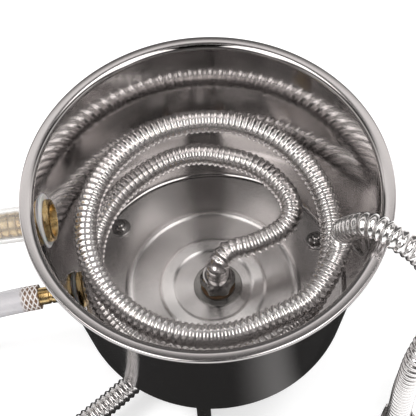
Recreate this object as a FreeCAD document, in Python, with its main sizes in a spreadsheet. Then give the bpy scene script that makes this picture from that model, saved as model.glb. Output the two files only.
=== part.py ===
import FreeCAD, Part
import math
import os
import re
import Sketcher

# Coil cooling pot: a tapered steel pot on three legs that holds a coil of corrugated steel tube.
# Cold water comes in low on its wall and leaves high, and what condenses leaves under the floor.
# The origin is on the pot's axis, on the ground under the legs. Z is up and the hoses lie towards -X.

doc = FreeCAD.newDocument("coil_cooling_pot")

# Driving sizes in millimetres and degrees.
SIZES = {
    # pot
    "gauge": 1.0,
    "pot_floor_radius": 103.0,
    "mouth_radius": 120.5,
    "pot_depth": 150.5,
    "corner_round": 4.0,
    "mouth_round": 5.0,
    "rim_width": 9.5,
    "rim_drop": 3.0,
    "inner_ring_in": 29.4,
    "inner_ring_out": 42.4,
    "outer_ring_in": 62.1,
    "outer_ring_out": 69.1,
    "ring_rise": 0.7,
    "ring_slope": 2.5,
    # legs
    "leg_length": 47.5,
    "leg_radius": 5.5,
    "leg_inset": 12.35,
    "leg_azimuth": 21.66,
    "leg_thread_radius": 3.0,
    "leg_tapping_radius": 2.5,
    "leg_thread_depth": 12.0,
    "leg_hole_radius": 3.3,
    "leg_seal": 1.5,
    "leg_seal_radius": 7.0,
    "leg_top_seal": 1.0,
    "leg_washer": 1.2,
    "leg_washer_radius": 7.8,
    "leg_nut_across": 10.0,
    "leg_nut_height": 5.0,
    "stud_proud": 1.6,
    "thread_gap": 0.1,
    # corrugated tube and its union nuts
    "crest_radius": 9.0,
    "valley_radius": 7.6,
    "tube_bore": 6.5,
    "flare_radius": 8.8,
    "flare_length": 1.9,
    "neck_radius": 7.8,
    "neck_step": 0.2,
    "neck_length": 2.3,
    "straight_end": 18.0,
    "clip_thickness": 1.8,
    "clip_radius": 10.3,
    "clip_mouth": 5.0,
    "gasket_thickness": 2.0,
    "gasket_radius": 9.2,
    "gasket_bore": 6.0,
    "nut_across": 24.0,
    "nut_reach": 7.0,
    "nut_thread_radius": 10.5,
    "nut_turn": 30.0,
    "nut_relief_radius": 10.9,
    "nut_hole_radius": 9.3,
    "nut_collar": 3.5,
    "nut_chamfer": 1.3,
    "running_gap": 0.3,
    # bulkhead in the floor
    "bulkhead_x": 4.0,
    "bulkhead_y": -0.5,
    "nipple_radius": 10.4,
    "nipple_bore": 7.0,
    "nipple_hole_gap": 0.4,
    "floor_washer_radius": 19.0,
    "floor_washer_thickness": 1.5,
    "floor_seal_radius": 13.4,
    "floor_seal_thickness": 2.5,
    "under_seal_thickness": 2.0,
    "locknut_across": 27.0,
    "locknut_height": 5.0,
    # elbow and spout under the floor
    "outlet_level": 20.0,
    "outlet_heading": 222.8,
    "outlet_bend": -5.0,
    "elbow_radius": 13.5,
    "elbow_body": 22.0,
    "elbow_branch": 34.0,
    "elbow_socket_depth": 10.0,
    "elbow_gap": 0.5,
    "spout_first": 62.0,
    "spout_last": 92.0,
    "spout_ribs": 30,
    # coil
    "coil_inset": 13.5,
    "coil_low": 49.5,
    "coil_high": 98.0,
    "coil_rise": 4.0,
    "climb_from": 200.0,
    "climb_to": 450.0,
    "coil_end": 660.0,
    "coil_ribs": 200,
    "rim_clearance": 1.5,
    "drop_reach": 43.4,
    "drop_azimuth": -39.4,
    "vapour_end": 19.0,
    # fittings in the wall
    "wall_gap": 0.1,
    "hot_azimuth": 180.0,
    "hot_level": 118.0,
    "hot_thread_radius": 13.2,
    "hot_bore": 8.0,
    "hot_mouth_radius": 11.8,
    "hot_mouth_depth": 8.0,
    "hot_gasket_radius": 19.5,
    "hot_gasket_thickness": 2.3,
    "hot_seal_radius": 17.0,
    "hot_across": 30.0,
    "hot_nut_height": 4.0,
    "hot_flange": 6.0,
    "hot_neck_radius": 8.6,
    "hot_barb_radius": 9.6,
    "hot_barb_from": 11.0,
    "hot_barb_length": 29.0,
    "hot_barbs": 5,
    "cold_azimuth": 183.8,
    "cold_level": 20.0,
    "cold_thread_radius": 10.4,
    "cold_bore": 4.5,
    "cold_mouth_radius": 8.4,
    "cold_mouth_depth": 6.0,
    "cold_gasket_radius": 14.5,
    "cold_gasket_thickness": 2.3,
    "cold_seal_radius": 13.5,
    "cold_across": 27.0,
    "cold_nut_height": 4.0,
    "cold_flange": 3.0,
    "cold_neck_radius": 6.8,
    "cold_groove": 0.9,
    "cold_groove_from": 18.5,
    "cold_barb_radius": 7.2,
    "cold_barb_from": 28.0,
    "cold_barb_length": 14.0,
    "cold_barbs": 3,
    "seal_thickness": 2.0,
    "thread_proud": 0.8,
    # hoses
    "hose_gap": 0.1,
    "hot_hose_radius": 12.7,
    "cold_hose_radius": 9.75,
}

# Sizes and places that follow from the driving ones.
FORMULAS = {
    "floor_level": "leg_length + leg_seal + gauge",
    "rim_level": "floor_level + pot_depth",
    "wall_slope": "(mouth_radius - pot_floor_radius) / pot_depth",
    "rim_radius": "mouth_radius + rim_width",
    "leg_circle": "pot_floor_radius - leg_inset",
    "coil_radius": "pot_floor_radius - coil_inset",
    "drop_radius": "rim_radius + drop_reach",
    "nut_seat": "flare_length + neck_step + neck_length + running_gap",
    "tube_foot": "floor_level + floor_washer_thickness + floor_seal_thickness + nut_reach",
    "under_floor": "floor_level - gauge",
    "locknut_foot": "under_floor - under_seal_thickness - locknut_height",
    "tube_start": "elbow_branch + gasket_thickness",
}

table = doc.addObject("Spreadsheet::Sheet", "sizes")
for row, (alias, number) in enumerate(SIZES.items(), start=1):
    table.set("A%d" % row, alias.replace("_", " "))
    table.set("B%d" % row, str(number))
    table.setAlias("B%d" % row, alias)
doc.recompute()


def bound(text):
    """An expression with each name turned into its cell, or into its own formula."""

    def cell(match):
        name = match.group(0)
        if name in FORMULAS:
            return "(" + bound(FORMULAS[name]) + ")"
        return "sizes." + name if name in SIZES else name

    return re.sub(r"[a-z][a-z_]+", cell, str(text))


def value(text):
    """The number that an expression stands for."""
    return float(table.evalExpression(bound(text)))


def bind(item, **expressions):
    """Ties an object's properties to the sheet."""
    for key, text in expressions.items():
        item.setExpression(key, bound(text))


def place(item, x="0", y="0", z="0", yaw="0", pitch="0"):
    """Ties an object's place to the sheet: it is tipped by pitch about Y, then turned by yaw about Z."""
    words = "create(<<placement>>; create(<<vector>>; %s; %s; %s); create(<<rotation>>; %s; %s; 0))"
    item.setExpression("Placement", words % tuple(bound(text) for text in (x, y, z, yaw, pitch)))


def along(item, point, way, roll=0):
    """Puts an object's origin on a point, with its Z axis along a direction and rolled about it."""
    axis = FreeCAD.Vector(0, 0, 1)
    turned_to = FreeCAD.Rotation(axis, way).multiply(FreeCAD.Rotation(axis, roll))
    item.Placement = FreeCAD.Placement(point, turned_to)


def new_body(name):
    body = doc.addObject("PartDesign::Body", name)
    body.Label = name
    return body


def outline(body, plane, corners, bore=None, shift=None, lift=None):
    """A closed outline on one of the body's own planes, each corner tied to the sheet."""
    drawing = body.newObject("Sketcher::SketchObject", body.Name + "_outline")
    face = next(f for f in body.Origin.OriginFeatures if f.Role == plane)
    drawing.AttachmentSupport = (face, [""])
    drawing.MapMode = "FlatFace"
    points = [FreeCAD.Vector(value(x), value(y), 0) for x, y in corners]
    count = len(points)
    sides = [Part.LineSegment(points[i], points[(i + 1) % count]) for i in range(count)]
    drawing.addGeometry(sides, False)
    joins = [Sketcher.Constraint("Coincident", i, 2, (i + 1) % count, 1) for i in range(count)]
    drawing.addConstraint(joins)
    for i, (x, y) in enumerate(corners):
        for kind, text, number, axis in (("DistanceX", x, points[i].x, -2), ("DistanceY", y, points[i].y, -1)):
            if abs(number) < 1e-9:
                drawing.addConstraint(Sketcher.Constraint("PointOnObject", i, 1, axis))
                continue
            index = drawing.addConstraint(Sketcher.Constraint(kind, -1, 1, i, 1, number))
            drawing.setExpression("Constraints[%d]" % index, bound(text))
    if bore is not None:
        circle = Part.Circle(FreeCAD.Vector(0, 0, 0), FreeCAD.Vector(0, 0, 1), value(bore))
        hole = drawing.addGeometry(circle, False)
        drawing.addConstraint(Sketcher.Constraint("Coincident", hole, 3, -1, 1))
        index = drawing.addConstraint(Sketcher.Constraint("Radius", hole, value(bore)))
        drawing.setExpression("Constraints[%d]" % index, bound(bore))
    if shift is not None:
        drawing.setExpression("AttachmentOffset.Base.x", bound(shift))
    if lift is not None:
        drawing.setExpression("AttachmentOffset.Base.z", bound(lift))
    return drawing


def turn(body, corners, kind="Revolution", shift=None):
    """Material turned about the outline's own upright axis, or cut away with kind Groove."""
    drawing = outline(body, "XZ_Plane", corners, shift=shift)
    before = body.Shape.Volume if kind == "Groove" else 0
    feature = body.newObject("PartDesign::" + kind, body.Name + "_" + kind.lower())
    feature.Profile = drawing
    feature.ReferenceAxis = (drawing, ["V_Axis"])
    feature.Angle = 360
    doc.recompute()
    if kind == "Groove" and not body.Shape.Volume < before - 1e-3:
        raise ValueError(body.Label + ": a groove cuts nothing")
    return feature


def turned(name, corners):
    """A body turned from one outline of radius and height."""
    body = new_body(name)
    turn(body, corners)
    return body


def ring_corners(inner, outer, low, high):
    return [(inner, low), (outer, low), (outer, high), (inner, high)]


def hexagon(across):
    """The corners of a hexagon with the given width across its flats."""
    reach = "(%s) / 2 / cos(30)" % across
    angles = range(30, 390, 60)
    return [("%s * cos(%d)" % (reach, a), "%s * sin(%d)" % (reach, a)) for a in angles]


def pad_hexagon(body, across, low, height, bore=None, shift=None):
    drawing = outline(body, "XY_Plane", hexagon(across), bore=bore, shift=shift, lift=low)
    pad = body.newObject("PartDesign::Pad", body.Name + "_hexagon")
    pad.Profile = drawing
    bind(pad, Length=height)
    doc.recompute()
    return pad


def ease_corners(body, across, end, inward):
    """Takes the sharp corners off one end of a hexagon: inward is the sign that leads into it."""
    half = "(%s) / 2" % across
    wide = "%s + 2 * nut_chamfer" % half
    turn(body, [(half, end), (wide, end), (wide, "%s %s 1.15 * nut_chamfer" % (end, inward))], "Groove")


def around(body, original):
    """Repeats a feature three times round the pot's axis, as separate solids of one body."""
    body.AllowCompound = True
    pattern = body.newObject("PartDesign::PolarPattern", body.Name + "_pattern")
    pattern.Originals = [original]
    axis = next(f for f in body.Origin.OriginFeatures if f.Role == "Z_Axis")
    pattern.Axis = (axis, [""])
    pattern.Angle = 360
    pattern.Occurrences = 3
    body.Tip = pattern
    place(body, yaw="leg_azimuth")
    return body


def cylinder(name, radius, height, **where):
    item = doc.addObject("Part::Cylinder", name)
    bind(item, Radius=radius, Height=height)
    place(item, **where)
    return item


def cut(name, base, tool):
    item = doc.addObject("Part::Cut", name)
    item.Label = name
    item.Base = base
    item.Tool = tool
    return item


def joined(name, pieces):
    item = doc.addObject("Part::MultiFuse", name)
    item.Label = name
    item.Shapes = pieces
    return item


def polar(radius, azimuth, height):
    turned_by = math.radians(azimuth)
    return FreeCAD.Vector(radius * math.cos(turned_by), radius * math.sin(turned_by), height)


# Where the two wall fittings sit: on the outer face of the wall, square to its slope.
def wall_seat(item, azimuth, level):
    radius = "(pot_floor_radius + gauge + wall_slope * %s)" % level
    place(
        item,
        x="%s * cos(%s)" % (radius, azimuth),
        y="%s * sin(%s)" % (radius, azimuth),
        z="floor_level + " + level,
        yaw=azimuth,
        pitch="90 + atan(wall_slope) / 1 deg",
    )


def wall_point(azimuth, level, out):
    """A point on a wall fitting's axis, out millimetres outside the wall, and the axis direction."""
    lean = math.atan(value("wall_slope"))
    way = polar(math.cos(lean), value(azimuth), -math.sin(lean))
    seat = polar(
        value("pot_floor_radius + gauge + wall_slope * " + level),
        value(azimuth),
        value("floor_level + " + level),
    )
    return seat + way * out, way


# The pot is pressed from one sheet: a floor with two raised rings, a tapered wall and a flat rim
# whose edge is turned down.
def floor_line(offset):
    """The floor from the axis outwards, with its two raised rings, as seen from above."""
    base = "floor_level - %s" % offset
    top = base + " + ring_rise"
    line = [("0", base)]
    for ring in ("inner_ring", "outer_ring"):
        line += [
            (ring + "_in", base),
            (ring + "_in + ring_slope", top),
            (ring + "_out - ring_slope", top),
            (ring + "_out", base),
        ]
    return line


pot_inside = floor_line("0") + [
    ("pot_floor_radius", "floor_level"),
    ("mouth_radius", "rim_level"),
    ("rim_radius", "rim_level"),
    ("rim_radius", "rim_level - rim_drop"),
]
pot_outside = floor_line("gauge") + [
    ("pot_floor_radius + gauge", "floor_level - gauge"),
    ("mouth_radius + gauge", "rim_level - gauge"),
    ("rim_radius - gauge", "rim_level - gauge"),
    ("rim_radius - gauge", "rim_level - rim_drop"),
]
pot_pressing = turned("pot_pressing", pot_inside + pot_outside[::-1])


def round_circle_edges(body, spots, radius):
    """Rounds the body's circular edges at the given radius and height."""
    feature = body.Tip
    names = []
    for index, edge in enumerate(feature.Shape.Edges, start=1):
        if not isinstance(edge.Curve, Part.Circle):
            continue
        for ring, height in spots:
            close = abs(edge.Curve.Radius - value(ring)) < 1e-4
            if close and abs(edge.Curve.Center.z - value(height)) < 1e-4:
                names.append("Edge%d" % index)
    fillet = body.newObject("PartDesign::Fillet", body.Name + "_round")
    fillet.Base = (feature, names)
    bind(fillet, Radius=radius)
    doc.recompute()
    return fillet


round_circle_edges(pot_pressing, [("pot_floor_radius", "floor_level")], "corner_round")
round_circle_edges(pot_pressing, [("pot_floor_radius + gauge", "under_floor")], "corner_round + gauge")
round_circle_edges(pot_pressing, [("rim_radius", "rim_level")], "gauge * 0.9")
round_circle_edges(pot_pressing, [("mouth_radius", "rim_level")], "mouth_round")
round_circle_edges(
    pot_pressing, [("mouth_radius + gauge", "rim_level - gauge")], "mouth_round - gauge"
)

pot_drills = [
    cylinder(
        "drill_leg_%d" % number,
        "leg_hole_radius",
        "4 * gauge",
        x="leg_circle * cos(leg_azimuth + %d)" % (120 * number),
        y="leg_circle * sin(leg_azimuth + %d)" % (120 * number),
        z="floor_level - 2.5 * gauge",
    )
    for number in range(3)
]
pot_drills.append(
    cylinder(
        "drill_floor",
        "nipple_radius + nipple_hole_gap",
        "4 * gauge",
        x="bulkhead_x",
        y="bulkhead_y",
        z="floor_level - 2.5 * gauge",
    )
)
for side in ("hot", "cold"):
    depth = "2 * %s_thread_radius" % side
    drill = doc.addObject("Part::Cylinder", "drill_" + side)
    bind(drill, Radius=side + "_thread_radius + nipple_hole_gap", Height=depth)
    wall_seat(drill, side + "_azimuth", side + "_level")
    shift = FreeCAD.Placement(FreeCAD.Vector(0, 0, -value(depth) / 2), FreeCAD.Rotation())
    doc.recompute()
    drill.setExpression("Placement", None)
    drill.Placement = drill.Placement.multiply(shift)
    pot_drills.append(drill)
pot_shell = cut("pot_shell", pot_pressing, joined("pot_drillings", pot_drills))

# Three round pillars carry the pot. A stud in each goes up through a seal, the floor, a second seal
# and a washer to its nut.
leg_pillars = new_body("leg_pillars")
pillar = turn(
    leg_pillars,
    [
        ("leg_tapping_radius", "0"),
        ("leg_radius", "0"),
        ("leg_radius", "leg_length"),
        ("leg_thread_radius + thread_gap", "leg_length"),
        ("leg_thread_radius + thread_gap", "leg_length - leg_thread_depth"),
        ("0", "leg_length - leg_thread_depth"),
        ("0", "leg_thread_depth"),
        ("leg_tapping_radius", "leg_thread_depth"),
    ],
    shift="leg_circle",
)
around(leg_pillars, pillar)

STACK = {
    "leg_seals_lower": ("leg_length", "leg_seal", "leg_seal_radius"),
    "leg_seals_upper": ("floor_level", "leg_top_seal", "leg_seal_radius"),
    "leg_washers": ("floor_level + leg_top_seal", "leg_washer", "leg_washer_radius"),
}
for name, (foot, thickness, radius) in STACK.items():
    body = new_body(name)
    corners = ring_corners("leg_thread_radius + thread_gap", radius, foot, foot + " + " + thickness)
    around(body, turn(body, corners, shift="leg_circle"))

nut_foot = "floor_level + leg_top_seal + leg_washer"
leg_nuts = new_body("leg_nuts")
leg_bore = "leg_thread_radius + thread_gap"
leg_nut = pad_hexagon(leg_nuts, "leg_nut_across", nut_foot, "leg_nut_height", leg_bore, "leg_circle")
around(leg_nuts, leg_nut)

stud_top = nut_foot + " + leg_nut_height + stud_proud"
leg_studs = new_body("leg_studs")
stud = turn(
    leg_studs,
    [
        ("0", "leg_length - leg_thread_depth + thread_gap"),
        ("leg_thread_radius", "leg_length - leg_thread_depth + thread_gap"),
        ("leg_thread_radius", stud_top + " - 0.6"),
        ("leg_thread_radius - 0.6", stud_top),
        ("0", stud_top),
    ],
    shift="leg_circle",
)
around(leg_studs, stud)

# The bulkhead: a threaded nipple through the floor, sealed above and below and held by a locknut.
at_bulkhead = {"x": "bulkhead_x", "y": "bulkhead_y"}
nipple_top = "tube_foot - gasket_thickness"
nipple_foot = "locknut_foot - elbow_socket_depth"
floor_nipple = turned(
    "floor_nipple", ring_corners("nipple_bore", "nipple_radius", nipple_foot, nipple_top)
)
place(floor_nipple, **at_bulkhead)

washer_top = "floor_level + floor_washer_thickness"
COLLARS = {
    "floor_washer": ("floor_level", washer_top, "floor_washer_radius"),
    "floor_seal_upper": (washer_top, washer_top + " + floor_seal_thickness", "floor_seal_radius"),
    "floor_seal_lower": ("under_floor - under_seal_thickness", "under_floor", "floor_seal_radius"),
}
for name, (low, high, radius) in COLLARS.items():
    place(turned(name, ring_corners("nipple_radius + thread_gap", radius, low, high)), **at_bulkhead)

floor_locknut = new_body("floor_locknut")
pad_hexagon(
    floor_locknut, "locknut_across", "locknut_foot", "locknut_height", "nipple_radius + thread_gap"
)
ease_corners(floor_locknut, "locknut_across", "locknut_foot", "+")
place(floor_locknut, **at_bulkhead)

# The elbow screws up onto the nipple's lower end and points outwards between two legs.
elbow_rise = "(locknut_foot - elbow_gap - outlet_level)"
sideways = {"pitch": "90"}
elbow_ball = doc.addObject("Part::Sphere", "elbow_ball")
bind(elbow_ball, Radius="elbow_radius")
elbow_pieces = [
    cylinder("elbow_upright", "elbow_radius", elbow_rise),
    elbow_ball,
    cylinder("elbow_side", "elbow_radius", "elbow_body", **sideways),
    cylinder("elbow_thread", "nipple_radius", "elbow_branch", **sideways),
]
elbow_ways = [
    cylinder("elbow_way_up", "nipple_bore", elbow_rise + " + 1"),
    cylinder("elbow_way_side", "nipple_bore", "elbow_branch + 1", **sideways),
    cylinder(
        "elbow_socket",
        "nipple_radius + thread_gap",
        "elbow_socket_depth + 1",
        z=elbow_rise + " - elbow_socket_depth + elbow_gap - thread_gap",
    ),
]
outlet_elbow = cut(
    "outlet_elbow", joined("elbow_casting", elbow_pieces), joined("elbow_waterways", elbow_ways)
)
place(outlet_elbow, z="outlet_level", yaw="outlet_heading", **at_bulkhead)


# Corrugated steel tube: straight at both ends, with a smooth curve through chosen points between.
def centre_line(points, first_way, last_way):
    """The curve's edge and its two straight ends, as a function of the distance along it."""
    straight = value("straight_end")
    start = points[0] + first_way * straight
    finish = points[-1] - last_way * straight
    curve = Part.BSplineCurve()
    chosen = [start] + points[1:-1] + [finish]
    curve.interpolate(Points=chosen, InitialTangent=first_way, FinalTangent=last_way, Scale=False)
    edge = curve.toShape()
    total = edge.Length + 2 * straight

    def at(distance):
        if distance <= straight:
            return points[0] + first_way * distance, first_way
        if distance >= total - straight:
            return points[-1] - last_way * (total - distance), last_way
        parameter = edge.getParameterByLength(distance - straight)
        return edge.valueAt(parameter), edge.tangentAt(parameter).normalize()

    return at, total


def circles(at, stations):
    """One circle at each station of distance and radius, all with a steady X axis."""
    wires = []
    steady = FreeCAD.Vector(1, 0, 0)
    if abs(at(0)[1].x) > 0.7:
        steady = FreeCAD.Vector(0, 0, 1)
    for distance, radius in stations:
        point, way = at(distance)
        steady = (steady - way * steady.dot(way)).normalize()
        other = way.cross(steady)
        frame = FreeCAD.Matrix(
            steady.x, other.x, way.x, point.x,
            steady.y, other.y, way.y, point.y,
            steady.z, other.z, way.z, point.z,
            0, 0, 0, 1,
        )
        wire = Part.Wire(Part.makeCircle(radius))
        wire.Placement = FreeCAD.Placement(frame)
        wires.append(wire)
    return wires


def corrugated(name, points, first_way, last_way, ribs):
    """A corrugated tube with a flared lip and a smooth neck at each end."""
    at, total = centre_line(points, first_way, last_way)
    flare, neck = value("flare_radius"), value("neck_radius")
    lip, slope = value("flare_length"), value("neck_step")
    first_rib = lip + slope + value("neck_length")
    pitch = (total - 2 * first_rib) / ribs
    valley, crest = value("valley_radius"), value("crest_radius")
    stations = [(0, flare), (lip, flare), (lip + slope, neck)]
    for rib in range(ribs):
        begin = first_rib + rib * pitch
        stations += [
            (begin, valley),
            (begin + 0.25 * pitch, crest),
            (begin + 0.55 * pitch, crest),
            (begin + 0.8 * pitch, valley),
        ]
    stations += [(total - lip - slope, neck), (total - lip, flare), (total, flare)]
    bore = value("tube_bore")
    bore_stops = 2 * ribs
    outer = circles(at, stations)
    inner = circles(at, [(total * stop / bore_stops, bore) for stop in range(bore_stops + 1)])
    faces = Part.makeLoft(outer, False, True).Faces + Part.makeLoft(inner, False, True).Faces
    for end in (0, -1):
        faces.append(Part.makeFace([outer[end], inner[end]], "Part::FaceMakerBullseye"))
    shell = Part.makeShell(faces)
    shell.sewShape()
    solid = Part.makeSolid(shell)
    if solid.Volume < 0:
        solid.reverse()
    tube = doc.addObject("Part::Feature", name)
    tube.Label = name
    tube.Shape = solid
    print("%s: %.0f mm long, rib pitch %.2f mm, volume %.0f mm3" % (name, total, pitch, solid.Volume))
    return tube, at, total


UP = FreeCAD.Vector(0, 0, 1)
coil_foot = FreeCAD.Vector(value("bulkhead_x"), value("bulkhead_y"), value("tube_foot"))
floor = value("floor_level")
ring = value("coil_radius")
low, high = value("coil_low"), value("coil_high")
# The route's small offsets are written for a tube of 9 mm crest radius and grow with it.
grown = value("crest_radius") / 9

# From the bulkhead the tube leans over and swings out to the coil: share of the coil's radius,
# azimuth, and share of the climb from the nut to the first turn.
HOOK = [
    (0.15, 33, 0.60),
    (0.33, 21.4, 0.74),
    (0.52, 20.0, 0.79),
    (0.68, 21.9, 0.85),
    (0.835, 30.3, 0.94),
    (0.90, 43.0, 1.00),
    (0.935, 55.4, 1.03),
    (0.96, 67.5, 1.05),
    (0.975, 78.5, 1.05),
]
nut_top = coil_foot.z + value("nut_seat + nut_collar") - floor
route = [coil_foot]
for share, azimuth, climb in HOOK:
    route.append(polar(share * ring, azimuth, floor + nut_top + climb * (low - nut_top)))


def coil_height(angle):
    """The first turn lies low, then the tube climbs smoothly to the second turn."""
    begin, finish = value("climb_from"), value("climb_to")
    part = min(max((angle - begin) / (finish - begin), 0), 1)
    climb = (high - low) * part * part * (3 - 2 * part)
    return floor + low + climb + value("coil_rise") * max(angle - finish, 0) / 250


angle = 95.0
while angle < value("coil_end") + 1:
    settle = 3.5 * grown * max(0, 1 - (angle - 95) / 40)
    route.append(polar(ring, angle, coil_height(angle) + settle))
    angle += 22.6

# The riser: it leaves the last turn, stands up inside the wall and leans over the rim, then falls
# outside. Radius inside the rim's edge, azimuth and height over the rim.
rim = value("rim_radius")
rim_top = value("rim_level")
over = value("crest_radius + rim_clearance")
RISER = [
    (-36.0, -45.0, -49.0),
    (-34.7, -29.7, -45.5),
    (-33.3, -20.8, -39.0),
    (-33.5, -17.3, -28.0),
    (-30.2, -18.6, -14.0),
    (-24.0, -20.6, -1.0),
    (-16.7, -21.6, 7.5),
]
for inset, azimuth, rise in RISER:
    route.append(polar(rim + grown * inset, azimuth, rim_top + grown * rise))
OVER = [(-6.2, -22.5, 0.5), (6.0, -24.0, 0.0), (17.5, -24.4, -5.0)]
for inset, azimuth, rise in OVER:
    route.append(polar(rim + grown * inset, azimuth, rim_top + over + grown * rise))
drop, heading = value("drop_radius"), value("drop_azimuth")
FALL = [
    (-11.2, 13.4, 143.5),
    (-0.8, 10.1, 124.0),
    (3.1, 6.1, 103.0),
    (1.4, 2.1, 81.0),
    (0.9, 0.5, 58.0),
    (0.0, 0.1, 34.0),
    (0.0, 0.0, 10.0),
]
for inset, aside, height in FALL:
    route.append(polar(drop + grown * inset, heading + aside, floor + grown * height))
vapour_tip = polar(drop, heading, value("vapour_end"))
route.append(vapour_tip)
coil_tube, coil_at, coil_length = corrugated("coil_tube", route, UP, UP * -1, int(value("coil_ribs")))


def least_gap(at, total, radius):
    """The least gap between two stretches of one tube, measured on points along it."""
    apart = 7 * radius
    steps = int(total / 4)
    points = [at(total * i / steps)[0] for i in range(steps + 1)]
    skip = int(apart / 4)
    near = min(
        (points[i] - points[j]).Length for i in range(len(points)) for j in range(i + skip, len(points))
    )
    return near - 2 * radius


print("coil_tube: least gap to itself %.1f mm" % least_gap(coil_at, coil_length, value("crest_radius")))

# The spout under the floor runs out between two legs and bends a little.
side_way = polar(1, value("outlet_heading"), 0)
spout_way = polar(1, value("outlet_heading + outlet_bend"), 0)
elbow_centre = FreeCAD.Vector(value("bulkhead_x"), value("bulkhead_y"), value("outlet_level"))
spout_start = elbow_centre + side_way * value("tube_start")
spout_knee = spout_start + side_way * value("spout_first")
spout_tip = spout_knee + spout_way * value("spout_last")
bend = 16 * grown
spout_points = [spout_start, spout_knee - side_way * bend, spout_knee + spout_way * bend, spout_tip]
corrugated("outlet_tube", spout_points, side_way, spout_way, int(value("spout_ribs")))


# A union at a tube's end: a hexagon nut whose collar bears on a clip ring in the tube's neck, and
# a flat gasket on the tube's end face. Z runs from that face into the tube.
def union(prefix, point, way):
    nut = new_body(prefix + "_nut")
    end = "nut_seat + nut_collar"
    pad_hexagon(nut, "nut_across", "0 - nut_reach", "nut_reach + " + end)
    turn(
        nut,
        [
            ("0", "0 - nut_reach - 1"),
            ("nut_thread_radius", "0 - nut_reach - 1"),
            ("nut_thread_radius", "0 - gasket_thickness - 0.2"),
            ("nut_relief_radius", "0 - gasket_thickness - 0.2"),
            ("nut_relief_radius", "nut_seat"),
            ("nut_hole_radius", "nut_seat"),
            ("nut_hole_radius", end + " + 1"),
            ("0", end + " + 1"),
        ],
        "Groove",
    )
    ease_corners(nut, "nut_across", end, "-")
    ease_corners(nut, "nut_across", "0 - nut_reach", "+")
    clip = new_body(prefix + "_clip_ring")
    foot = "flare_length + neck_step + 0.1"
    turn(clip, ring_corners("neck_radius + thread_gap", "clip_radius", foot, foot + " + clip_thickness"))
    half = "clip_mouth / 2"
    mouth = [
        ("0 - " + half, "0"), (half, "0"), (half, "2 * clip_radius"), ("0 - " + half, "2 * clip_radius")
    ]
    opening = outline(clip, "XY_Plane", mouth)
    slot = clip.newObject("PartDesign::Pocket", clip.Name + "_mouth")
    slot.Profile = opening
    slot.Midplane = True
    bind(slot, Length="8 * clip_thickness")
    doc.recompute()
    gasket = turned(
        prefix + "_gasket", ring_corners("gasket_bore", "gasket_radius", "0 - gasket_thickness", "0")
    )
    along(nut, point, way, value("nut_turn"))
    along(clip, point, way)
    along(gasket, point, way)


union("coil_outlet", coil_foot, UP)
union("elbow", spout_start, side_way)
union("spout", spout_tip, spout_way * -1)
union("vapour", vapour_tip, UP)


# The wall fittings: a brass body with a hexagon flange and a barbed tail outside, its thread through
# the wall, a soft seal on each side and a hexagon locknut inside.
def barbed_tail(side, first, groove=None):
    """The outline of a body's tail from its flange outwards, and its barbs."""
    neck, crest = side + "_neck_radius", side + "_barb_radius"
    line = [(neck, first)]
    if groove:
        line += [(neck, groove), (neck + " - cold_groove", groove)]
        line += [(neck + " - cold_groove", groove + " + 1.6"), (neck, groove + " + 1.6")]
    count = int(value(side + "_barbs"))
    begin, length = side + "_barb_from", side + "_barb_length"
    for number in range(count):
        foot = "%s + %s * %d / %d" % (begin, length, number, count)
        line += [(neck, foot), (crest, foot + " + 1.2")]
        line += [(neck, foot + " + %s / %d - 0.4" % (length, count))]
    line.append((neck + " - 0.4", "%s + %s" % (begin, length)))
    return line


def wall_fitting(side, groove=None):
    azimuth, level = side + "_azimuth", side + "_level"
    thread, gasket = side + "_thread_radius", side + "_gasket_thickness"
    inner_face = "0 - gauge - " + gasket
    nut_face = inner_face + " - %s_nut_height" % side
    flange = side + "_flange"
    flange_top = "seal_thickness + " + flange
    body = new_body(side + "_barb")
    inner_end = nut_face + " - thread_proud"
    tail = barbed_tail(side, flange_top, groove)
    turn(
        body,
        [
            (side + "_bore", inner_end + " + %s_mouth_depth" % side),
            (side + "_mouth_radius", inner_end + " + %s_mouth_depth" % side),
            (side + "_mouth_radius", inner_end),
            (thread, inner_end),
            (thread, flange_top),
        ]
        + tail
        + [(side + "_bore", "%s_barb_from + %s_barb_length" % (side, side))],
    )
    pad_hexagon(body, side + "_across", "seal_thickness", flange, side + "_neck_radius")
    ease_corners(body, side + "_across", flange_top, "-")
    wall_seat(body, azimuth, level)

    locknut = new_body(side + "_locknut")
    pad_hexagon(locknut, side + "_across", nut_face, side + "_nut_height", thread + " + thread_gap")
    ease_corners(locknut, side + "_across", nut_face, "+")
    wall_seat(locknut, azimuth, level)

    hollow = cylinder(side + "_seal_hole", thread + " + thread_gap", "40", z="-20")
    for where, radius, low_face, thickness in (
        ("inner", side + "_gasket_radius", inner_face, gasket + " + gauge"),
        ("outer", side + "_seal_radius", "0 - seal_thickness", "2 * seal_thickness"),
    ):
        disc = cylinder("%s_%s_disc" % (side, where), radius, thickness, z=low_face)
        washer = cut("%s_%s_washer" % (side, where), disc, hollow)
        wall_seat(washer, azimuth, level)
        cone = doc.addObject("Part::Cone", "%s_%s_cone" % (side, where))
        shift = "- wall_gap" if where == "inner" else "+ gauge + wall_slope * gauge + wall_gap"
        bind(cone, Radius1="pot_floor_radius " + shift, Radius2="mouth_radius " + shift, Height="pot_depth")
        place(cone, z="floor_level")
        name = "%s_gasket_%s" % (side, where)
        if where == "inner":
            seal = doc.addObject("Part::MultiCommon", name)
            seal.Shapes = [washer, cone]
            seal.Label = name
        else:
            seal = cut(name, washer, cone)


wall_fitting("hot")
wall_fitting("cold", groove="cold_groove_from")

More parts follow.
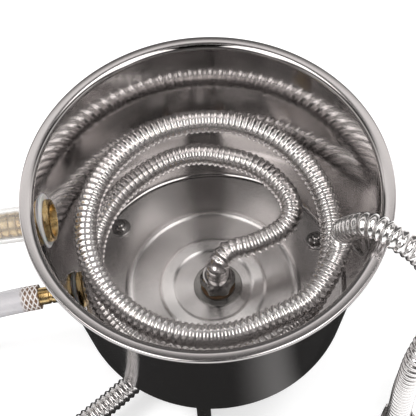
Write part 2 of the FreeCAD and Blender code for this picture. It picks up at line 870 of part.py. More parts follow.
# The water hoses. The points are the hose's route in millimetres, chosen by hand: out of its
# fitting, down to the ground and along it to its cut end.
HOT_ROUTE = [
    (-128.7, 0.0, 166.7),
    (-178.3, 0.0, 160.9),
    (-224.0, 1.0, 140.6),
    (-265.0, 3.0, 103.6),
    (-304.5, 5.5, 62.8),
    (-348.0, 8.5, 31.1),
    (-403.0, 14.5, 12.9),
    (-455.0, 25.0, 12.9),
    (-505.0, 42.5, 12.9),
    (-551.0, 67.5, 12.9),
    (-582.5, 91.0, 12.9),
]
COLD_ROUTE = [
    (-133.8, -8.9, 66.8),
    (-169.5, -11.3, 62.6),
    (-202.2, -14.5, 47.2),
    (-236.0, -18.5, 27.0),
    (-274.0, -23.5, 16.4),
    (-312.5, -29.5, 9.95),
    (-353.0, -34.0, 9.95),
    (-398.0, -34.5, 9.95),
    (-443.0, -29.0, 9.95),
    (-488.0, -18.0, 9.95),
    (-531.0, -2.0, 9.95),
    (-571.5, 19.0, 9.95),
    (-598.5, 37.5, 9.95),
    (-620.0, 56.0, 9.95),
]


def rounded(points):
    """Straight runs joined by tangent arcs, each as large as its two runs allow, and their radii."""
    edges, radii = [], []
    begin = points[0]
    for before, corner, after in zip(points, points[1:], points[2:]):
        back, on = before - corner, after - corner
        half_turn = (math.pi - back.getAngle(on)) / 2
        reach = 0.45 * min(back.Length, on.Length)
        radii.append(reach / math.tan(half_turn))
        back.normalize()
        on.normalize()
        arc_start, arc_end = corner + back * reach, corner + on * reach
        inwards = (back + on).normalize()
        middle = corner + inwards * radii[-1] * (1 / math.cos(half_turn) - 1)
        edges.append(Part.LineSegment(begin, arc_start).toShape())
        edges.append(Part.Arc(arc_start, middle, arc_end).toShape())
        begin = arc_end
    edges.append(Part.LineSegment(begin, points[-1]).toShape())
    return Part.Wire(edges), radii


def sleeve(name, path, outside, inside, grip, depth):
    """A hose along a path, with its bore, widened over its barbs to the grip's radius and depth."""
    start = path.Edges[0].valueAt(path.Edges[0].FirstParameter)
    way = path.Edges[0].tangentAt(path.Edges[0].FirstParameter)
    tubes = []
    for radius in (outside, inside):
        ring_wire = Part.Wire(Part.makeCircle(radius, start, way))
        tubes.append(path.makePipeShell([ring_wire], True, False))
    section = math.pi * (outside**2 - inside**2)
    shape = tubes[0].cut(tubes[1]).cut(Part.makeCylinder(grip, depth, start, way))
    item = doc.addObject("Part::Feature", name)
    item.Label = name
    item.Shape = shape.Solids[0]
    print("%s: length %.0f mm, volume %.0f mm3, section by length %.0f mm3"
          % (name, path.Length, item.Shape.Volume, section * path.Length))


def hose(side, points, bore):
    """A hose from its barbs to its cut end."""
    chosen = [FreeCAD.Vector(*point) for point in points]
    start, way = wall_point(side + "_azimuth", side + "_level", value(side + "_barb_from"))
    chosen[0] = start
    chosen[1] = start + way * (chosen[1] - chosen[0]).Length
    path, radii = rounded(chosen)
    outside = value(side + "_hose_radius")
    print(side, "hose radii in diameters:", " ".join("%.1f" % (r / outside / 2) for r in radii))
    grip = value(side + "_barb_radius + hose_gap")
    sleeve(side + "_hose", path, outside, bore, grip, value(side + "_barb_length") + 1)


hose("hot", HOT_ROUTE, value("hot_barb_radius - 0.4"))
hose("cold", COLD_ROUTE, value("cold_barb_radius - 0.8"))

NODES = [
    "pot_shell", "coil_tube", "outlet_tube", "floor_nipple", "floor_washer", "floor_seal_upper",
    "floor_seal_lower", "floor_locknut", "outlet_elbow",
    "leg_pillars", "leg_studs", "leg_nuts", "leg_washers", "leg_seals_upper", "leg_seals_lower",
]
for prefix in ("coil_outlet", "elbow", "spout", "vapour"):
    NODES += [prefix + "_nut", prefix + "_clip_ring", prefix + "_gasket"]
for side in ("hot", "cold"):
    NODES += [side + "_barb", side + "_locknut", side + "_gasket_inner", side + "_gasket_outer"]
    NODES.append(side + "_hose")

doc.recompute()
for item in doc.Objects:
    if "Invalid" in item.State or "Error" in item.State:
        raise ValueError("%s: %s" % (item.Label, item.State))
os.makedirs("parts", exist_ok=True)
for node in NODES:
    shape = doc.getObjectsByLabel(node)[0].Shape
    if shape.isNull() or not shape.isValid():
        raise ValueError(node + ": the shape isn't valid")
    shape.exportStep("parts/%s.step" % node)
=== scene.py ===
import math

import bmesh
import bpy
import numpy as np
from mathutils import Matrix, Vector


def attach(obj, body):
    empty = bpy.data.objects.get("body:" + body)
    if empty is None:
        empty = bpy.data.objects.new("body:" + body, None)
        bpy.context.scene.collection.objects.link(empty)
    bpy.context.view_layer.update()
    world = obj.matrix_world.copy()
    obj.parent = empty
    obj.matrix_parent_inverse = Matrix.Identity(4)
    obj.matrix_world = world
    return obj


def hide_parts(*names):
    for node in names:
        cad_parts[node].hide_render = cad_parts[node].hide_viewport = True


# Coil cooling pot: a tapered steel pot on three legs round a coil of corrugated steel tube.
# Sizes are written in millimetres, as in the part's source; each mesh is brought to metres
# when it is finished, and each piece's object stays at the origin.
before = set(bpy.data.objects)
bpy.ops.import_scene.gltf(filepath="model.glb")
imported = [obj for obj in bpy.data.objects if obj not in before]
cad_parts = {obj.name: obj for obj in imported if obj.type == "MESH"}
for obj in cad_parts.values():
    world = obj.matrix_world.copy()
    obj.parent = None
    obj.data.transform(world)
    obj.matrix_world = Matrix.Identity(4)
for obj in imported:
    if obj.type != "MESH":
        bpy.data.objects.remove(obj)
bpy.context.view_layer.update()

# The photograph's view: a long lens high in front of the pot, looking 60 degrees down and held
# a few degrees out of level.
PHOTO_WIDTH = 416
FOCAL_PIXELS = 1317.3
SENSOR_WIDTH = 36
LOOK_DOWN = math.radians(60.07)
TILT = math.radians(3.61)
CAMERA_PLACE = (0, -0.46492, 0.97956)


def linked(name, data):
    """A new object with this data, in the scene."""
    piece = bpy.data.objects.new(name, data)
    bpy.context.scene.collection.objects.link(piece)
    return piece


camera_lens = bpy.data.cameras.new("photo_camera")
camera_lens.sensor_width = SENSOR_WIDTH
camera_lens.lens = SENSOR_WIDTH * FOCAL_PIXELS / PHOTO_WIDTH
camera = linked("photo_camera", camera_lens)
bpy.context.scene.camera = camera
level_up = Vector((0, math.sin(LOOK_DOWN), math.cos(LOOK_DOWN)))
right = math.cos(TILT) * Vector((1, 0, 0)) - math.sin(TILT) * level_up
up = math.sin(TILT) * Vector((1, 0, 0)) + math.cos(TILT) * level_up
turned_to_view = Matrix((right, up, right.cross(up))).transposed().to_4x4()
camera.matrix_world = Matrix.Translation(CAMERA_PLACE) @ turned_to_view
bpy.context.scene.view_settings.view_transform = "Standard"


# The studio: a pale floor under a white surround, with soft lamps and a few reflectors that only
# polished metal sees. Node trees are written with the two classes below.
class Level:
    """A node's output that takes part in plain arithmetic: each step adds one Math node."""

    def __init__(self, bench, socket):
        self.bench = bench
        self.socket = socket

    def step(self, operation, *values):
        return self.bench.node("ShaderNodeMath", {"operation": operation}, *values)

    def __add__(self, other):
        return self.step("ADD", self, other)

    __radd__ = __add__

    def __sub__(self, other):
        return self.step("SUBTRACT", self, other)

    def __rsub__(self, other):
        return self.step("SUBTRACT", other, self)

    def __mul__(self, other):
        return self.step("MULTIPLY", self, other)

    __rmul__ = __mul__

    def __truediv__(self, other):
        return self.step("DIVIDE", self, other)

    def __pow__(self, other):
        return self.step("POWER", self, other)

    def __gt__(self, other):
        return self.step("GREATER_THAN", self, other)

    def __lt__(self, other):
        return self.step("LESS_THAN", self, other)

    def ramp(self, low, high):
        """0 at low, 1 at high, with a soft start and end."""
        settings = {"interpolation_type": "SMOOTHSTEP"}
        return self.bench.node("ShaderNodeMapRange", settings, self, low, high, 0.0, 1.0)


class Bench:
    """A node tree and the one method that adds its nodes."""

    def __init__(self, tree):
        self.tree = tree

    def node(self, kind, settings, *values, out=0, **named):
        """Adds a node, its settings first, then its inputs in order or by name."""
        made = self.tree.nodes.new(kind)
        for key, setting in settings.items():
            setattr(made, key, setting)
        sockets = [s for s in made.inputs if s.enabled]
        pairs = list(zip(sockets, values))
        pairs += [(made.inputs[name.replace("_", " ")], value) for name, value in named.items()]
        for socket, value in pairs:
            self.feed(socket, value)
        outputs = [s for s in made.outputs if s.enabled]
        if not outputs:
            return None
        return Level(self, outputs[out] if isinstance(out, int) else made.outputs[out])

    def feed(self, socket, value):
        if value is None:
            return
        if isinstance(value, Level):
            self.tree.links.new(value.socket, socket)
        elif socket.type == "RGBA" and len(value) == 3:
            socket.default_value = (*value, 1.0)
        else:
            socket.default_value = value

    def mix(self, factor, first, second):
        """A colour between two colours."""
        return self.node("ShaderNodeMix", {"data_type": "RGBA"}, factor, first, second)

    def place(self):
        """Where on the object a point lies."""
        return self.node("ShaderNodeTexCoord", {}, out="Object")

    def split(self, spot):
        """The three numbers of a vector."""
        return [self.node("ShaderNodeSeparateXYZ", {}, spot, out=axis) for axis in "XYZ"]

    def noise(self, spot, scale, detail):
        return self.node("ShaderNodeTexNoise", {}, Vector=spot, Scale=scale, Detail=detail)

    def shown(self):
        """1 for a ray from the camera, off metal or through plastic, 0 for one that only lights."""
        rays = ("Is Camera Ray", "Is Glossy Ray", "Is Transmission Ray")
        seen, mirrored, through = (self.node("ShaderNodeLightPath", {}, out=ray) for ray in rays)
        share = seen + mirrored + through
        return share.step("MINIMUM", share, 1.0)


world = bpy.data.worlds.new("studio_surround")
world.use_nodes = True
world.node_tree.nodes.clear()
bpy.context.scene.world = world
surround = Bench(world.node_tree)
SURROUND_LIGHT = 0.55
strength = surround.shown() * (1.0 - SURROUND_LIGHT) + SURROUND_LIGHT
glow = surround.node("ShaderNodeBackground", {}, (1.0, 1.0, 1.0), strength)
surround.node("ShaderNodeOutputWorld", {}, glow)


def new_material(name):
    """An empty material's bench; finish_material gives it its surface."""
    material = bpy.data.materials.new(name)
    material.use_nodes = True
    material.node_tree.nodes.clear()
    bench = Bench(material.node_tree)
    bench.material = material
    return bench


def surfaced(bench, surface):
    """The bench's material, with this surface."""
    bench.node("ShaderNodeOutputMaterial", {}, surface)
    return bench.material


def finish_material(bench, **sockets):
    """The bench's material, with a Principled surface that has these inputs."""
    return surfaced(bench, bench.node("ShaderNodeBsdfPrincipled", {}, **sockets))


def studio_floor():
    """Pale matt ground whose own light only shows it and never lights the part."""
    bench = new_material("studio_floor")
    matt = bench.node("ShaderNodeBsdfDiffuse", {}, (0.86, 0.86, 0.86))
    bright = bench.node("ShaderNodeEmission", {}, (1.0, 1.0, 1.0), 0.42)
    dark = bench.node("ShaderNodeEmission", {}, (0.0, 0.0, 0.0), 0.0)
    lift = bench.node("ShaderNodeMixShader", {}, bench.shown(), dark, bright)
    return surfaced(bench, bench.node("ShaderNodeAddShader", {}, matt, lift))


def staged(name, mesh, material, seen_by_metal_only=False):
    """A piece of the studio; a reflector is seen by polished surfaces alone."""
    piece = linked(name, mesh)
    mesh.materials.append(material)
    if seen_by_metal_only:
        for ray in ("camera", "diffuse", "shadow", "transmission"):
            setattr(piece, "visible_" + ray, False)


FLOOR_HALF = 4.0
floor_mesh = bpy.data.meshes.new("studio_floor")
signs = ((-1, -1), (1, -1), (1, 1), (-1, 1))
floor_corners = [(x * FLOOR_HALF, y * FLOOR_HALF, 0) for x, y in signs]
floor_mesh.from_pydata(floor_corners, [], [range(4)])
staged("studio_floor", floor_mesh, studio_floor())

TENT_RADIUS = 1.8


def tent_light():
    """The brightness of the tent by direction, each way from the middle a share of its radius: a
    white horizon, a pale sheet behind, two soft boxes overhead with a dark gap between them, a
    panel on each side, and grey cloth between."""
    bench = new_material("studio_tent")
    x, y, z = (way / TENT_RADIUS for way in bench.split(bench.place()))
    aside = x.step("ABSOLUTE", x)
    horizon = (1.0 - z.ramp(0.12, 0.22)) * 0.85
    box = aside.ramp(0.14, 0.18) * (1.0 - aside.ramp(0.50, 0.62))
    box = box * y.ramp(-0.72, -0.6) * (1.0 - y.ramp(0.04, 0.14)) * z.ramp(0.3, 0.5)
    gap = (1.0 - aside.ramp(0.12, 0.18)) * (1.0 - y.ramp(0.10, 0.18)) * z.ramp(0.6, 0.7)
    sheet = y.ramp(0.27, 0.50) * (1.0 - y.ramp(0.54, 0.60)) * z.ramp(0.10, 0.25)
    side = aside.ramp(0.72, 0.80) * z.ramp(0.28, 0.36) * (1.0 - z.ramp(0.50, 0.58))
    level = horizon.step("MAXIMUM", horizon, box * 3.0)
    level = level.step("MAXIMUM", level, sheet * 1.05)
    level = level.step("MAXIMUM", level, side * 0.9) + 0.10 - gap * 0.09
    return surfaced(bench, bench.node("ShaderNodeEmission", {}, (1.0, 0.97, 0.95), level))


tent = bmesh.new()
bmesh.ops.create_uvsphere(tent, u_segments=64, v_segments=32, radius=TENT_RADIUS)
tent_mesh = bpy.data.meshes.new("studio_tent")
tent.to_mesh(tent_mesh)
tent.free()
staged("studio_tent", tent_mesh, tent_light(), seen_by_metal_only=True)


CLOTH_RADIUS = 0.26
CLOTH_FADES_FROM = 0.16
CLOTH_LEVEL = 0.002
CLOTH_SIDES = 36


def dark_cloth():
    """Dark ground round the pot, for metal alone, with one paler stretch in front on the right. It
    fades into the pale floor towards its edge."""
    bench = new_material("dark_cloth")
    x, y = bench.split(bench.place())[:2]
    across = x / y.step("ABSOLUTE", y)
    front = 1.0 - y.ramp(-0.02, 0.0)
    band = across.ramp(0.10, 0.60) * (1.0 - across.ramp(0.60, 1.10)) * front
    fade = ((x * x + y * y) ** 0.5).ramp(CLOTH_FADES_FROM, CLOTH_RADIUS)
    level = band * 0.16 + 0.03 + fade * 0.85
    return surfaced(bench, bench.node("ShaderNodeEmission", {}, (1.0, 0.98, 0.97), level))


cloth_mesh = bpy.data.meshes.new("dark_cloth")
edge = [2 * math.pi * i / CLOTH_SIDES for i in range(CLOTH_SIDES)]
cloth_edge = [(CLOTH_RADIUS * math.cos(a), CLOTH_RADIUS * math.sin(a), CLOTH_LEVEL) for a in edge]
cloth_mesh.from_pydata(cloth_edge, [], [range(CLOTH_SIDES)])
staged("dark_cloth", cloth_mesh, dark_cloth(), seen_by_metal_only=True)


LAMP_AIM = Vector((0, 0, 0.1))


def soft_lamp(name, place, size, power):
    """A soft lamp that lights the part and isn't mirrored in it."""
    lamp = bpy.data.lights.new(name, "AREA")
    lamp.shape = "RECTANGLE"
    lamp.size, lamp.size_y = size
    lamp.energy = power
    holder = linked(name, lamp)
    holder.location = place
    holder.rotation_euler = (LAMP_AIM - Vector(place)).to_track_quat("-Z", "Y").to_euler()
    holder.visible_glossy = False


soft_lamp("lamp_left", (-1.1, 0.1, 1.3), (0.7, 0.9), 16)
soft_lamp("lamp_right", (1.1, 0.5, 1.2), (0.5, 0.9), 9)
soft_lamp("lamp_front", (0.1, -1.4, 0.9), (0.9, 0.4), 6)

# The pot: one sheet of stainless steel pressed into a tapered pot with two raised rings in its
# floor and a flat rim turned down at its edge. The floor is brushed in rings, the walls polished.
GAUGE = 1.0
FLOOR_LEVEL = 50.0
FLOOR_RADIUS = 103.0
MOUTH_RADIUS = 120.5
POT_DEPTH = 150.5
RIM_RADIUS = 130.0
RIM_DROP = 3.0
RIM_LEVEL = FLOOR_LEVEL + POT_DEPTH
WALL_SLOPE = (MOUTH_RADIUS - FLOOR_RADIUS) / POT_DEPTH
FLOOR_RINGS = ((29.4, 42.4), (62.1, 69.1))
RING_RISE = 0.7
RING_SLOPE = 2.5


def eased(corners, steps=5):
    """A line through corners of radius, height and rounding, with an arc at each rounded one."""
    line = []
    count = len(corners)
    for number, (r, z, rounding) in enumerate(corners):
        here = Vector((r, z))
        if not rounding:
            line.append(here)
            continue
        back = Vector(corners[number - 1][:2]) - here
        on = Vector(corners[(number + 1) % count][:2]) - here
        half = back.angle(on) / 2
        reach = min(rounding / math.tan(half), 0.49 * back.length, 0.49 * on.length)
        radius = reach * math.tan(half)
        back.normalize()
        on.normalize()
        centre = here + (back + on).normalized() * (radius / math.sin(half))
        begin, end = here + back * reach - centre, here + on * reach - centre
        sweep = begin.angle_signed(end)
        for step in range(steps + 1):
            line.append(centre + Matrix.Rotation(-sweep * step / steps, 2) @ begin)
    return line


def spun(name, corners, around=96, smooth=40, steps=5):
    """A closed outline turned about Z, with its faces outwards."""
    line = eased(corners, steps)
    area = sum(a.x * b.y - b.x * a.y for a, b in zip(line, line[1:] + line[:1]))
    if area < 0:
        line.reverse()
    on_axis = [abs(p.x) < 1e-6 for p in line]
    points, rings = [], []
    for p, pole in zip(line, on_axis):
        if pole:
            rings.append([len(points)] * around)
            points.append((0, 0, p.y))
            continue
        rings.append([len(points) + i for i in range(around)])
        for i in range(around):
            turn = 2 * math.pi * i / around
            points.append((p.x * math.cos(turn), p.x * math.sin(turn), p.y))
    faces = []
    for one, other in zip(rings, rings[1:] + rings[:1]):
        for i in range(around):
            j = (i + 1) % around
            face = list(dict.fromkeys((one[i], one[j], other[j], other[i])))
            if len(face) > 2:
                faces.append(face)
    return made(name, points, faces, smooth)


def spun_between(name, inner, outer, low, high, rounding=0.3):
    """A flat ring between two radii and two heights."""
    corners = [(inner, low, 0), (outer, low, rounding), (outer, high, rounding), (inner, high, 0)]
    return spun(name, corners)


def made(name, points, faces, smooth=40):
    """A mesh object from points in millimetres, smooth but for edges sharper than the angle."""
    mesh = bpy.data.meshes.new(name)
    mesh.from_pydata([Vector(p) * 0.001 for p in points], [], faces)
    mesh.validate()
    mesh.shade_smooth()
    mesh.set_sharp_from_angle(angle=math.radians(smooth))
    return linked(name, mesh)


def joined(name, mesh, smooth):
    """An object from a bmesh, which is freed, smooth but for edges sharper than the angle."""
    data = bpy.data.meshes.new(name)
    mesh.to_mesh(data)
    mesh.free()
    data.set_sharp_from_angle(angle=math.radians(smooth))
    return linked(name, data)


def placed(piece, place):
    """Moves the piece's mesh by a matrix whose shift is in millimetres."""
    shift = place.copy()
    shift.translation *= 0.001
    piece.data.transform(shift)
    return piece


def fitted(piece, material, slot, *nodes, body="pot"):
    """Gives the finished piece its material and its body, and hides the CAD nodes it stands for.
    The slot is not used.
    """
    if material:
        piece.data.materials.clear()
        piece.data.materials.append(material)
    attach(piece, body)
    if nodes:
        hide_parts(*nodes)
    return piece


def ring_coordinates(bench):
    """Radius from the Z axis, turn about it from 0 to 1, and height, all from the object."""
    x, y, z = bench.split(bench.place())
    radius = (x * x + y * y) ** 0.5
    turn = x.step("ARCTAN2", y, x) / (2 * math.pi) + 0.5
    return radius, turn, z


def grain(bench, across, along):
    """Noise between 0 and 1 over two stretched coordinates, for brushed steel."""
    spot = bench.node("ShaderNodeCombineXYZ", {}, across, along, 0.0)
    return bench.noise(spot, 1.0, 3.0)


def brushed_steel(bench, tone, roughness, stretched=0.0):
    """Steel whose reflections are drawn out across its brushing by the share stretched."""
    return finish_material(
        bench, Base_Color=tone, Metallic=1.0, Roughness=roughness, Anisotropic=stretched,
        Anisotropic_Rotation=0.25
    )


def brushed_floor():
    """Turned steel: brushed in fine rings about the axis, so that what it mirrors is drawn out
    along the radius, with a painted sheen: a paler colour on the rings that stand up from it."""
    bench = new_material("pot_floor_brushed")
    radius, turn, height = ring_coordinates(bench)
    rings = grain(bench, radius * 2600.0, turn * 6.0)
    # Painted sheen: the rings that stand up from the floor get a paler colour, for the light their
    # slopes mirror.
    painted_ring_sheen = height.ramp((FLOOR_LEVEL + 0.15) * 0.001, (FLOOR_LEVEL + 0.6) * 0.001)
    tone = bench.mix(rings, (0.58, 0.558, 0.553), (0.70, 0.678, 0.673))
    tone = bench.mix(painted_ring_sheen * 0.8, tone, (0.88, 0.86, 0.855))
    return brushed_steel(bench, tone, rings * 0.04 + 0.21, stretched=1.0)


def polished_wall():
    """Drawn and polished steel: nearly a mirror, drawn out a little up and down by the faint
    marks of its polishing."""
    bench = new_material("pot_wall_polished")
    radius, turn, height = ring_coordinates(bench)
    marks = grain(bench, height * 1500.0, turn * 10.0)
    tone = bench.mix(marks, (0.43, 0.412, 0.408), (0.53, 0.51, 0.505))
    return brushed_steel(bench, tone, marks * 0.03 + 0.075, stretched=0.8)


def satin_rim():
    """The rim's flat top: satin steel with ring marks."""
    bench = new_material("pot_rim_satin")
    radius, turn, height = ring_coordinates(bench)
    marks = grain(bench, radius * 3000.0, turn * 14.0)
    tone = bench.mix(marks, (0.60, 0.575, 0.575), (0.70, 0.675, 0.675))
    return brushed_steel(bench, tone, marks * 0.05 + 0.16)


def pot_outline():
    """The sheet's section: its inside from the axis to the rim's edge, and its underside back."""
    inside = [(0, FLOOR_LEVEL, 0)]
    under = [(0, FLOOR_LEVEL - GAUGE, 0)]
    for first, last in FLOOR_RINGS:
        for line, low in ((inside, FLOOR_LEVEL), (under, FLOOR_LEVEL - GAUGE)):
            high = low + RING_RISE
            line += [(first, low, 5), (first + RING_SLOPE, high, 5)]
            line += [(last - RING_SLOPE, high, 5), (last, low, 5)]
    inside += [
        (FLOOR_RADIUS, FLOOR_LEVEL, 4.0),
        (MOUTH_RADIUS, RIM_LEVEL, 5.0),
        (RIM_RADIUS, RIM_LEVEL, 1.4),
        (RIM_RADIUS, RIM_LEVEL - RIM_DROP, 0.3),
    ]
    under += [
        (FLOOR_RADIUS + GAUGE, FLOOR_LEVEL - GAUGE, 5.0),
        (MOUTH_RADIUS + GAUGE, RIM_LEVEL - GAUGE, 4.0),
        (RIM_RADIUS - GAUGE, RIM_LEVEL - GAUGE, 0.4),
        (RIM_RADIUS - GAUGE, RIM_LEVEL - RIM_DROP, 0.3),
    ]
    return inside + under[::-1]


pot = spun("pot", pot_outline(), around=256, smooth=50, steps=6)
for material in (brushed_floor(), polished_wall(), satin_rim()):
    pot.data.materials.append(material)
for face in pot.data.polygons:
    out = math.hypot(face.center.x, face.center.y) * 1000
    rise = face.center.z * 1000
    if out < FLOOR_RADIUS - 4 and rise < FLOOR_LEVEL + 5:
        face.material_index = 0
    elif rise > RIM_LEVEL - 0.6 and out > MOUTH_RADIUS + 1.6:
        face.material_index = 2
    else:
        face.material_index = 1
fitted(pot, None, "pot_steel", "pot_shell")

# Three turned steel legs under the floor. A stud in each comes up through a seal, the floor,
# a second seal and a washer to a hexagon nut.
LEG_CIRCLE = 90.65
LEG_AZIMUTH = 21.66
LEG_LENGTH = 47.5


def bright_steel(name, base, rough, spread=0.1):
    """Machined or plated steel, with faint turning marks and small patches of handling."""
    bench = new_material(name)
    marks = bench.noise(bench.place(), 900.0, 3.0)
    patches = bench.noise(bench.place(), 90.0, 4.0)
    dark = tuple(0.8 * part for part in base)
    tone = bench.mix(patches, dark, base)
    bump = bench.node("ShaderNodeBump", {}, Strength=0.12, Distance=0.00005, Height=marks)
    return finish_material(
        bench, Base_Color=tone, Metallic=1.0, Roughness=patches * spread + rough, Normal=bump
    )


def soft_seal(name, base, dark):
    """Moulded silicone or rubber: satin, slightly cloudy, a little dusty."""
    bench = new_material(name)
    clouds = bench.noise(bench.place(), 140.0, 4.0)
    skin = bench.noise(bench.place(), 1500.0, 2.0)
    tone = bench.mix(clouds, dark, base)
    bump = bench.node("ShaderNodeBump", {}, Strength=0.2, Distance=0.00006, Height=skin)
    return finish_material(
        bench, Base_Color=tone, Roughness=clouds * 0.2 + 0.38, Subsurface_Weight=0.15,
        Subsurface_Scale=0.004, Normal=bump
    )


fitting_steel = bright_steel("fitting_steel", base=(0.56, 0.545, 0.54), rough=0.10, spread=0.06)
leg_steel = bright_steel("leg_steel", base=(0.58, 0.56, 0.55), rough=0.18)
milky_silicone = soft_seal("milky_silicone", (0.76, 0.755, 0.75), (0.64, 0.64, 0.64))


def hexagon_nut(name, across, foot, top, bore_line, chamfer=0.5):
    """A hexagon between foot and top whose corners are turned off at both ends, with a bore
    given as a line of radius and height from the top face down to the foot."""
    around = 96
    flat = across / 2
    face_radius = flat - chamfer * 0.4
    slope = math.tan(math.radians(30))
    rings = []

    def ring(radius_at, height_at):
        points = []
        for i in range(around):
            turn = 2 * math.pi * i / around
            off = (turn + math.pi / 6) % (math.pi / 3) - math.pi / 6
            corner = flat / math.cos(off)
            radius = radius_at(corner)
            points.append((radius * math.cos(turn), radius * math.sin(turn), height_at(corner)))
        rings.append(points)

    def drop(corner):
        return (corner - face_radius) * slope + chamfer * 0.25

    ring(lambda corner: face_radius, lambda corner: foot)
    ring(lambda corner: corner, lambda corner: foot + drop(corner))
    ring(lambda corner: corner, lambda corner: top - drop(corner))
    ring(lambda corner: face_radius, lambda corner: top)
    for radius, height in bore_line:
        ring(lambda corner, r=radius: r, lambda corner, h=height: h)
    points = [point for points in rings for point in points]
    faces = []
    for number in range(len(rings)):
        one, other = number * around, (number + 1) % len(rings) * around
        for i in range(around):
            j = (i + 1) % around
            faces.append((one + i, one + j, other + j, other + i))
    return made(name, points, faces, smooth=28)


def thread_line(radius, depth, pitch, low, high, inward):
    """The zigzag of a screw thread seen from the side, from high down to low."""
    turns = max(int((high - low) / pitch), 1)
    step = (high - low) / turns
    line = [(radius, high)]
    for number in range(turns):
        line.append((radius + depth * inward, high - (number + 0.5) * step))
        line.append((radius, high - (number + 1) * step))
    return line


def settled(name, source):
    """The evaluated object as a plain mesh at the origin; the object it came from goes."""
    depsgraph = bpy.context.evaluated_depsgraph_get()
    mesh = bpy.data.meshes.new_from_object(source.evaluated_get(depsgraph), depsgraph=depsgraph)
    bpy.data.objects.remove(source)
    return linked(name, mesh)


def node_group(name, inputs):
    """A Geometry Nodes tree with a Geometry input and output and these named inputs."""
    tree = bpy.data.node_groups.new(name, "GeometryNodeTree")
    tree.interface.new_socket("Geometry", in_out="INPUT", socket_type="NodeSocketGeometry")
    for key, kind in inputs.items():
        tree.interface.new_socket(key, in_out="INPUT", socket_type="NodeSocket" + kind)
    tree.interface.new_socket("Geometry", in_out="OUTPUT", socket_type="NodeSocketGeometry")
    bench = Bench(tree)
    given = tree.nodes.new("NodeGroupInput")
    return bench, {key: Level(bench, given.outputs[key]) for key in ["Geometry", *inputs]}


def run_group(piece, tree, name, **values):
    """Runs a tree on an object with its inputs set, and returns the plain result."""
    modifier = piece.modifiers.new(tree.name, "NODES")
    modifier.node_group = tree
    for item in tree.interface.items_tree:
        key = item.name.replace(" ", "_")
        if item.in_out == "INPUT" and key in values:
            modifier[item.identifier] = values[key]
    return settled(name, piece)


def three_legs_tree():
    """Repeats a piece at the three leg places, each turned by its own amount."""
    bench, given = node_group(
        "three_legs",
        {"Circle": "Float", "Azimuth": "Float", "Loose turn": "Float", "Seed": "Int",
         "Finish": "Material"},
    )
    spots = bench.node("GeometryNodeMeshCircle", {}, 3, given["Circle"])
    turn = bench.node("ShaderNodeCombineXYZ", {}, 0.0, 0.0, given["Azimuth"])
    spots = bench.node("GeometryNodeTransform", {}, spots, Rotation=turn)
    loose = bench.node(
        "FunctionNodeRandomValue", {"data_type": "FLOAT"}, 0.0, given["Loose turn"], None,
        given["Seed"]
    )
    spin = bench.node("ShaderNodeCombineXYZ", {}, 0.0, 0.0, loose)
    pieces = bench.node(
        "GeometryNodeInstanceOnPoints", {}, spots, Instance=given["Geometry"], Rotation=spin
    )
    whole = bench.node("GeometryNodeRealizeInstances", {}, pieces)
    dressed = bench.node("GeometryNodeSetMaterial", {}, whole, Material=given["Finish"])
    bench.node("NodeGroupOutput", {}, dressed)
    return bench.tree


three_legs = three_legs_tree()


def on_three_legs(piece, material, slot, node, loose=0.0):
    """Puts the piece at all three legs; loose is the most that each may be turned, in radians."""
    name = piece.name
    piece.name = name + "_one"
    whole = run_group(
        piece, three_legs, name, Circle=LEG_CIRCLE * 0.001, Azimuth=math.radians(LEG_AZIMUTH),
        Loose_turn=loose, Seed=7, Finish=material
    )
    fitted(whole, None, slot, node)


STUD_HOLE = 3.1
BLIND_HOLE_END = 35.5
LEG_SEAL_RADIUS = 7
UNDERSIDE = FLOOR_LEVEL - GAUGE
seat = FLOOR_LEVEL + 1.0
nut_foot = seat + 1.2
nut_top = nut_foot + 5.0
pillar = [
    (0, 12, 0), (2.5, 12, 0), (2.5, 0, 0), (5.5, 0, 0.4), (5.5, LEG_LENGTH, 0.3),
    (STUD_HOLE, LEG_LENGTH, 0), (STUD_HOLE, BLIND_HOLE_END, 0), (0, BLIND_HOLE_END, 0),
]
on_three_legs(spun("legs", pillar), leg_steel, "leg_steel", "leg_pillars")
for level, foot, top, rounding in (
    ("lower", LEG_LENGTH, UNDERSIDE, 0.4), ("upper", FLOOR_LEVEL, seat, 0.3)
):
    seal = spun_between("leg_" + level + "_seals", STUD_HOLE, LEG_SEAL_RADIUS, foot, top, rounding)
    on_three_legs(seal, milky_silicone, "milky_silicone", "leg_seals_" + level)
washer = [(STUD_HOLE, seat, 0), (7.8, seat, 0.2), (7.8, nut_foot, 0.5), (STUD_HOLE, nut_foot, 0.2)]
on_three_legs(spun("leg_washers", washer), fitting_steel, "fitting_steel", "leg_washers")
nut_bore = thread_line(STUD_HOLE, 0.3, 1.0, nut_foot + 0.5, nut_top - 0.5, 1)
nut_bore = [(3.6, nut_top)] + nut_bore + [(3.6, nut_foot)]
leg_nut = hexagon_nut("leg_nuts", 10, nut_foot, nut_top, nut_bore, chamfer=0.9)
on_three_legs(leg_nut, fitting_steel, "fitting_steel", "leg_nuts", loose=1.0)
stud_top = nut_top + 1.6
stud_thread = [(r, z, 0) for r, z in thread_line(3.0, 0.35, 1.0, 35.6, stud_top - 0.6, -1)]
stud = [(0, stud_top, 0), (2.3, stud_top, 0.3)] + stud_thread + [(0, 35.6, 0)]
on_three_legs(spun("leg_studs", stud, around=48), fitting_steel, "fitting_steel", "leg_studs")

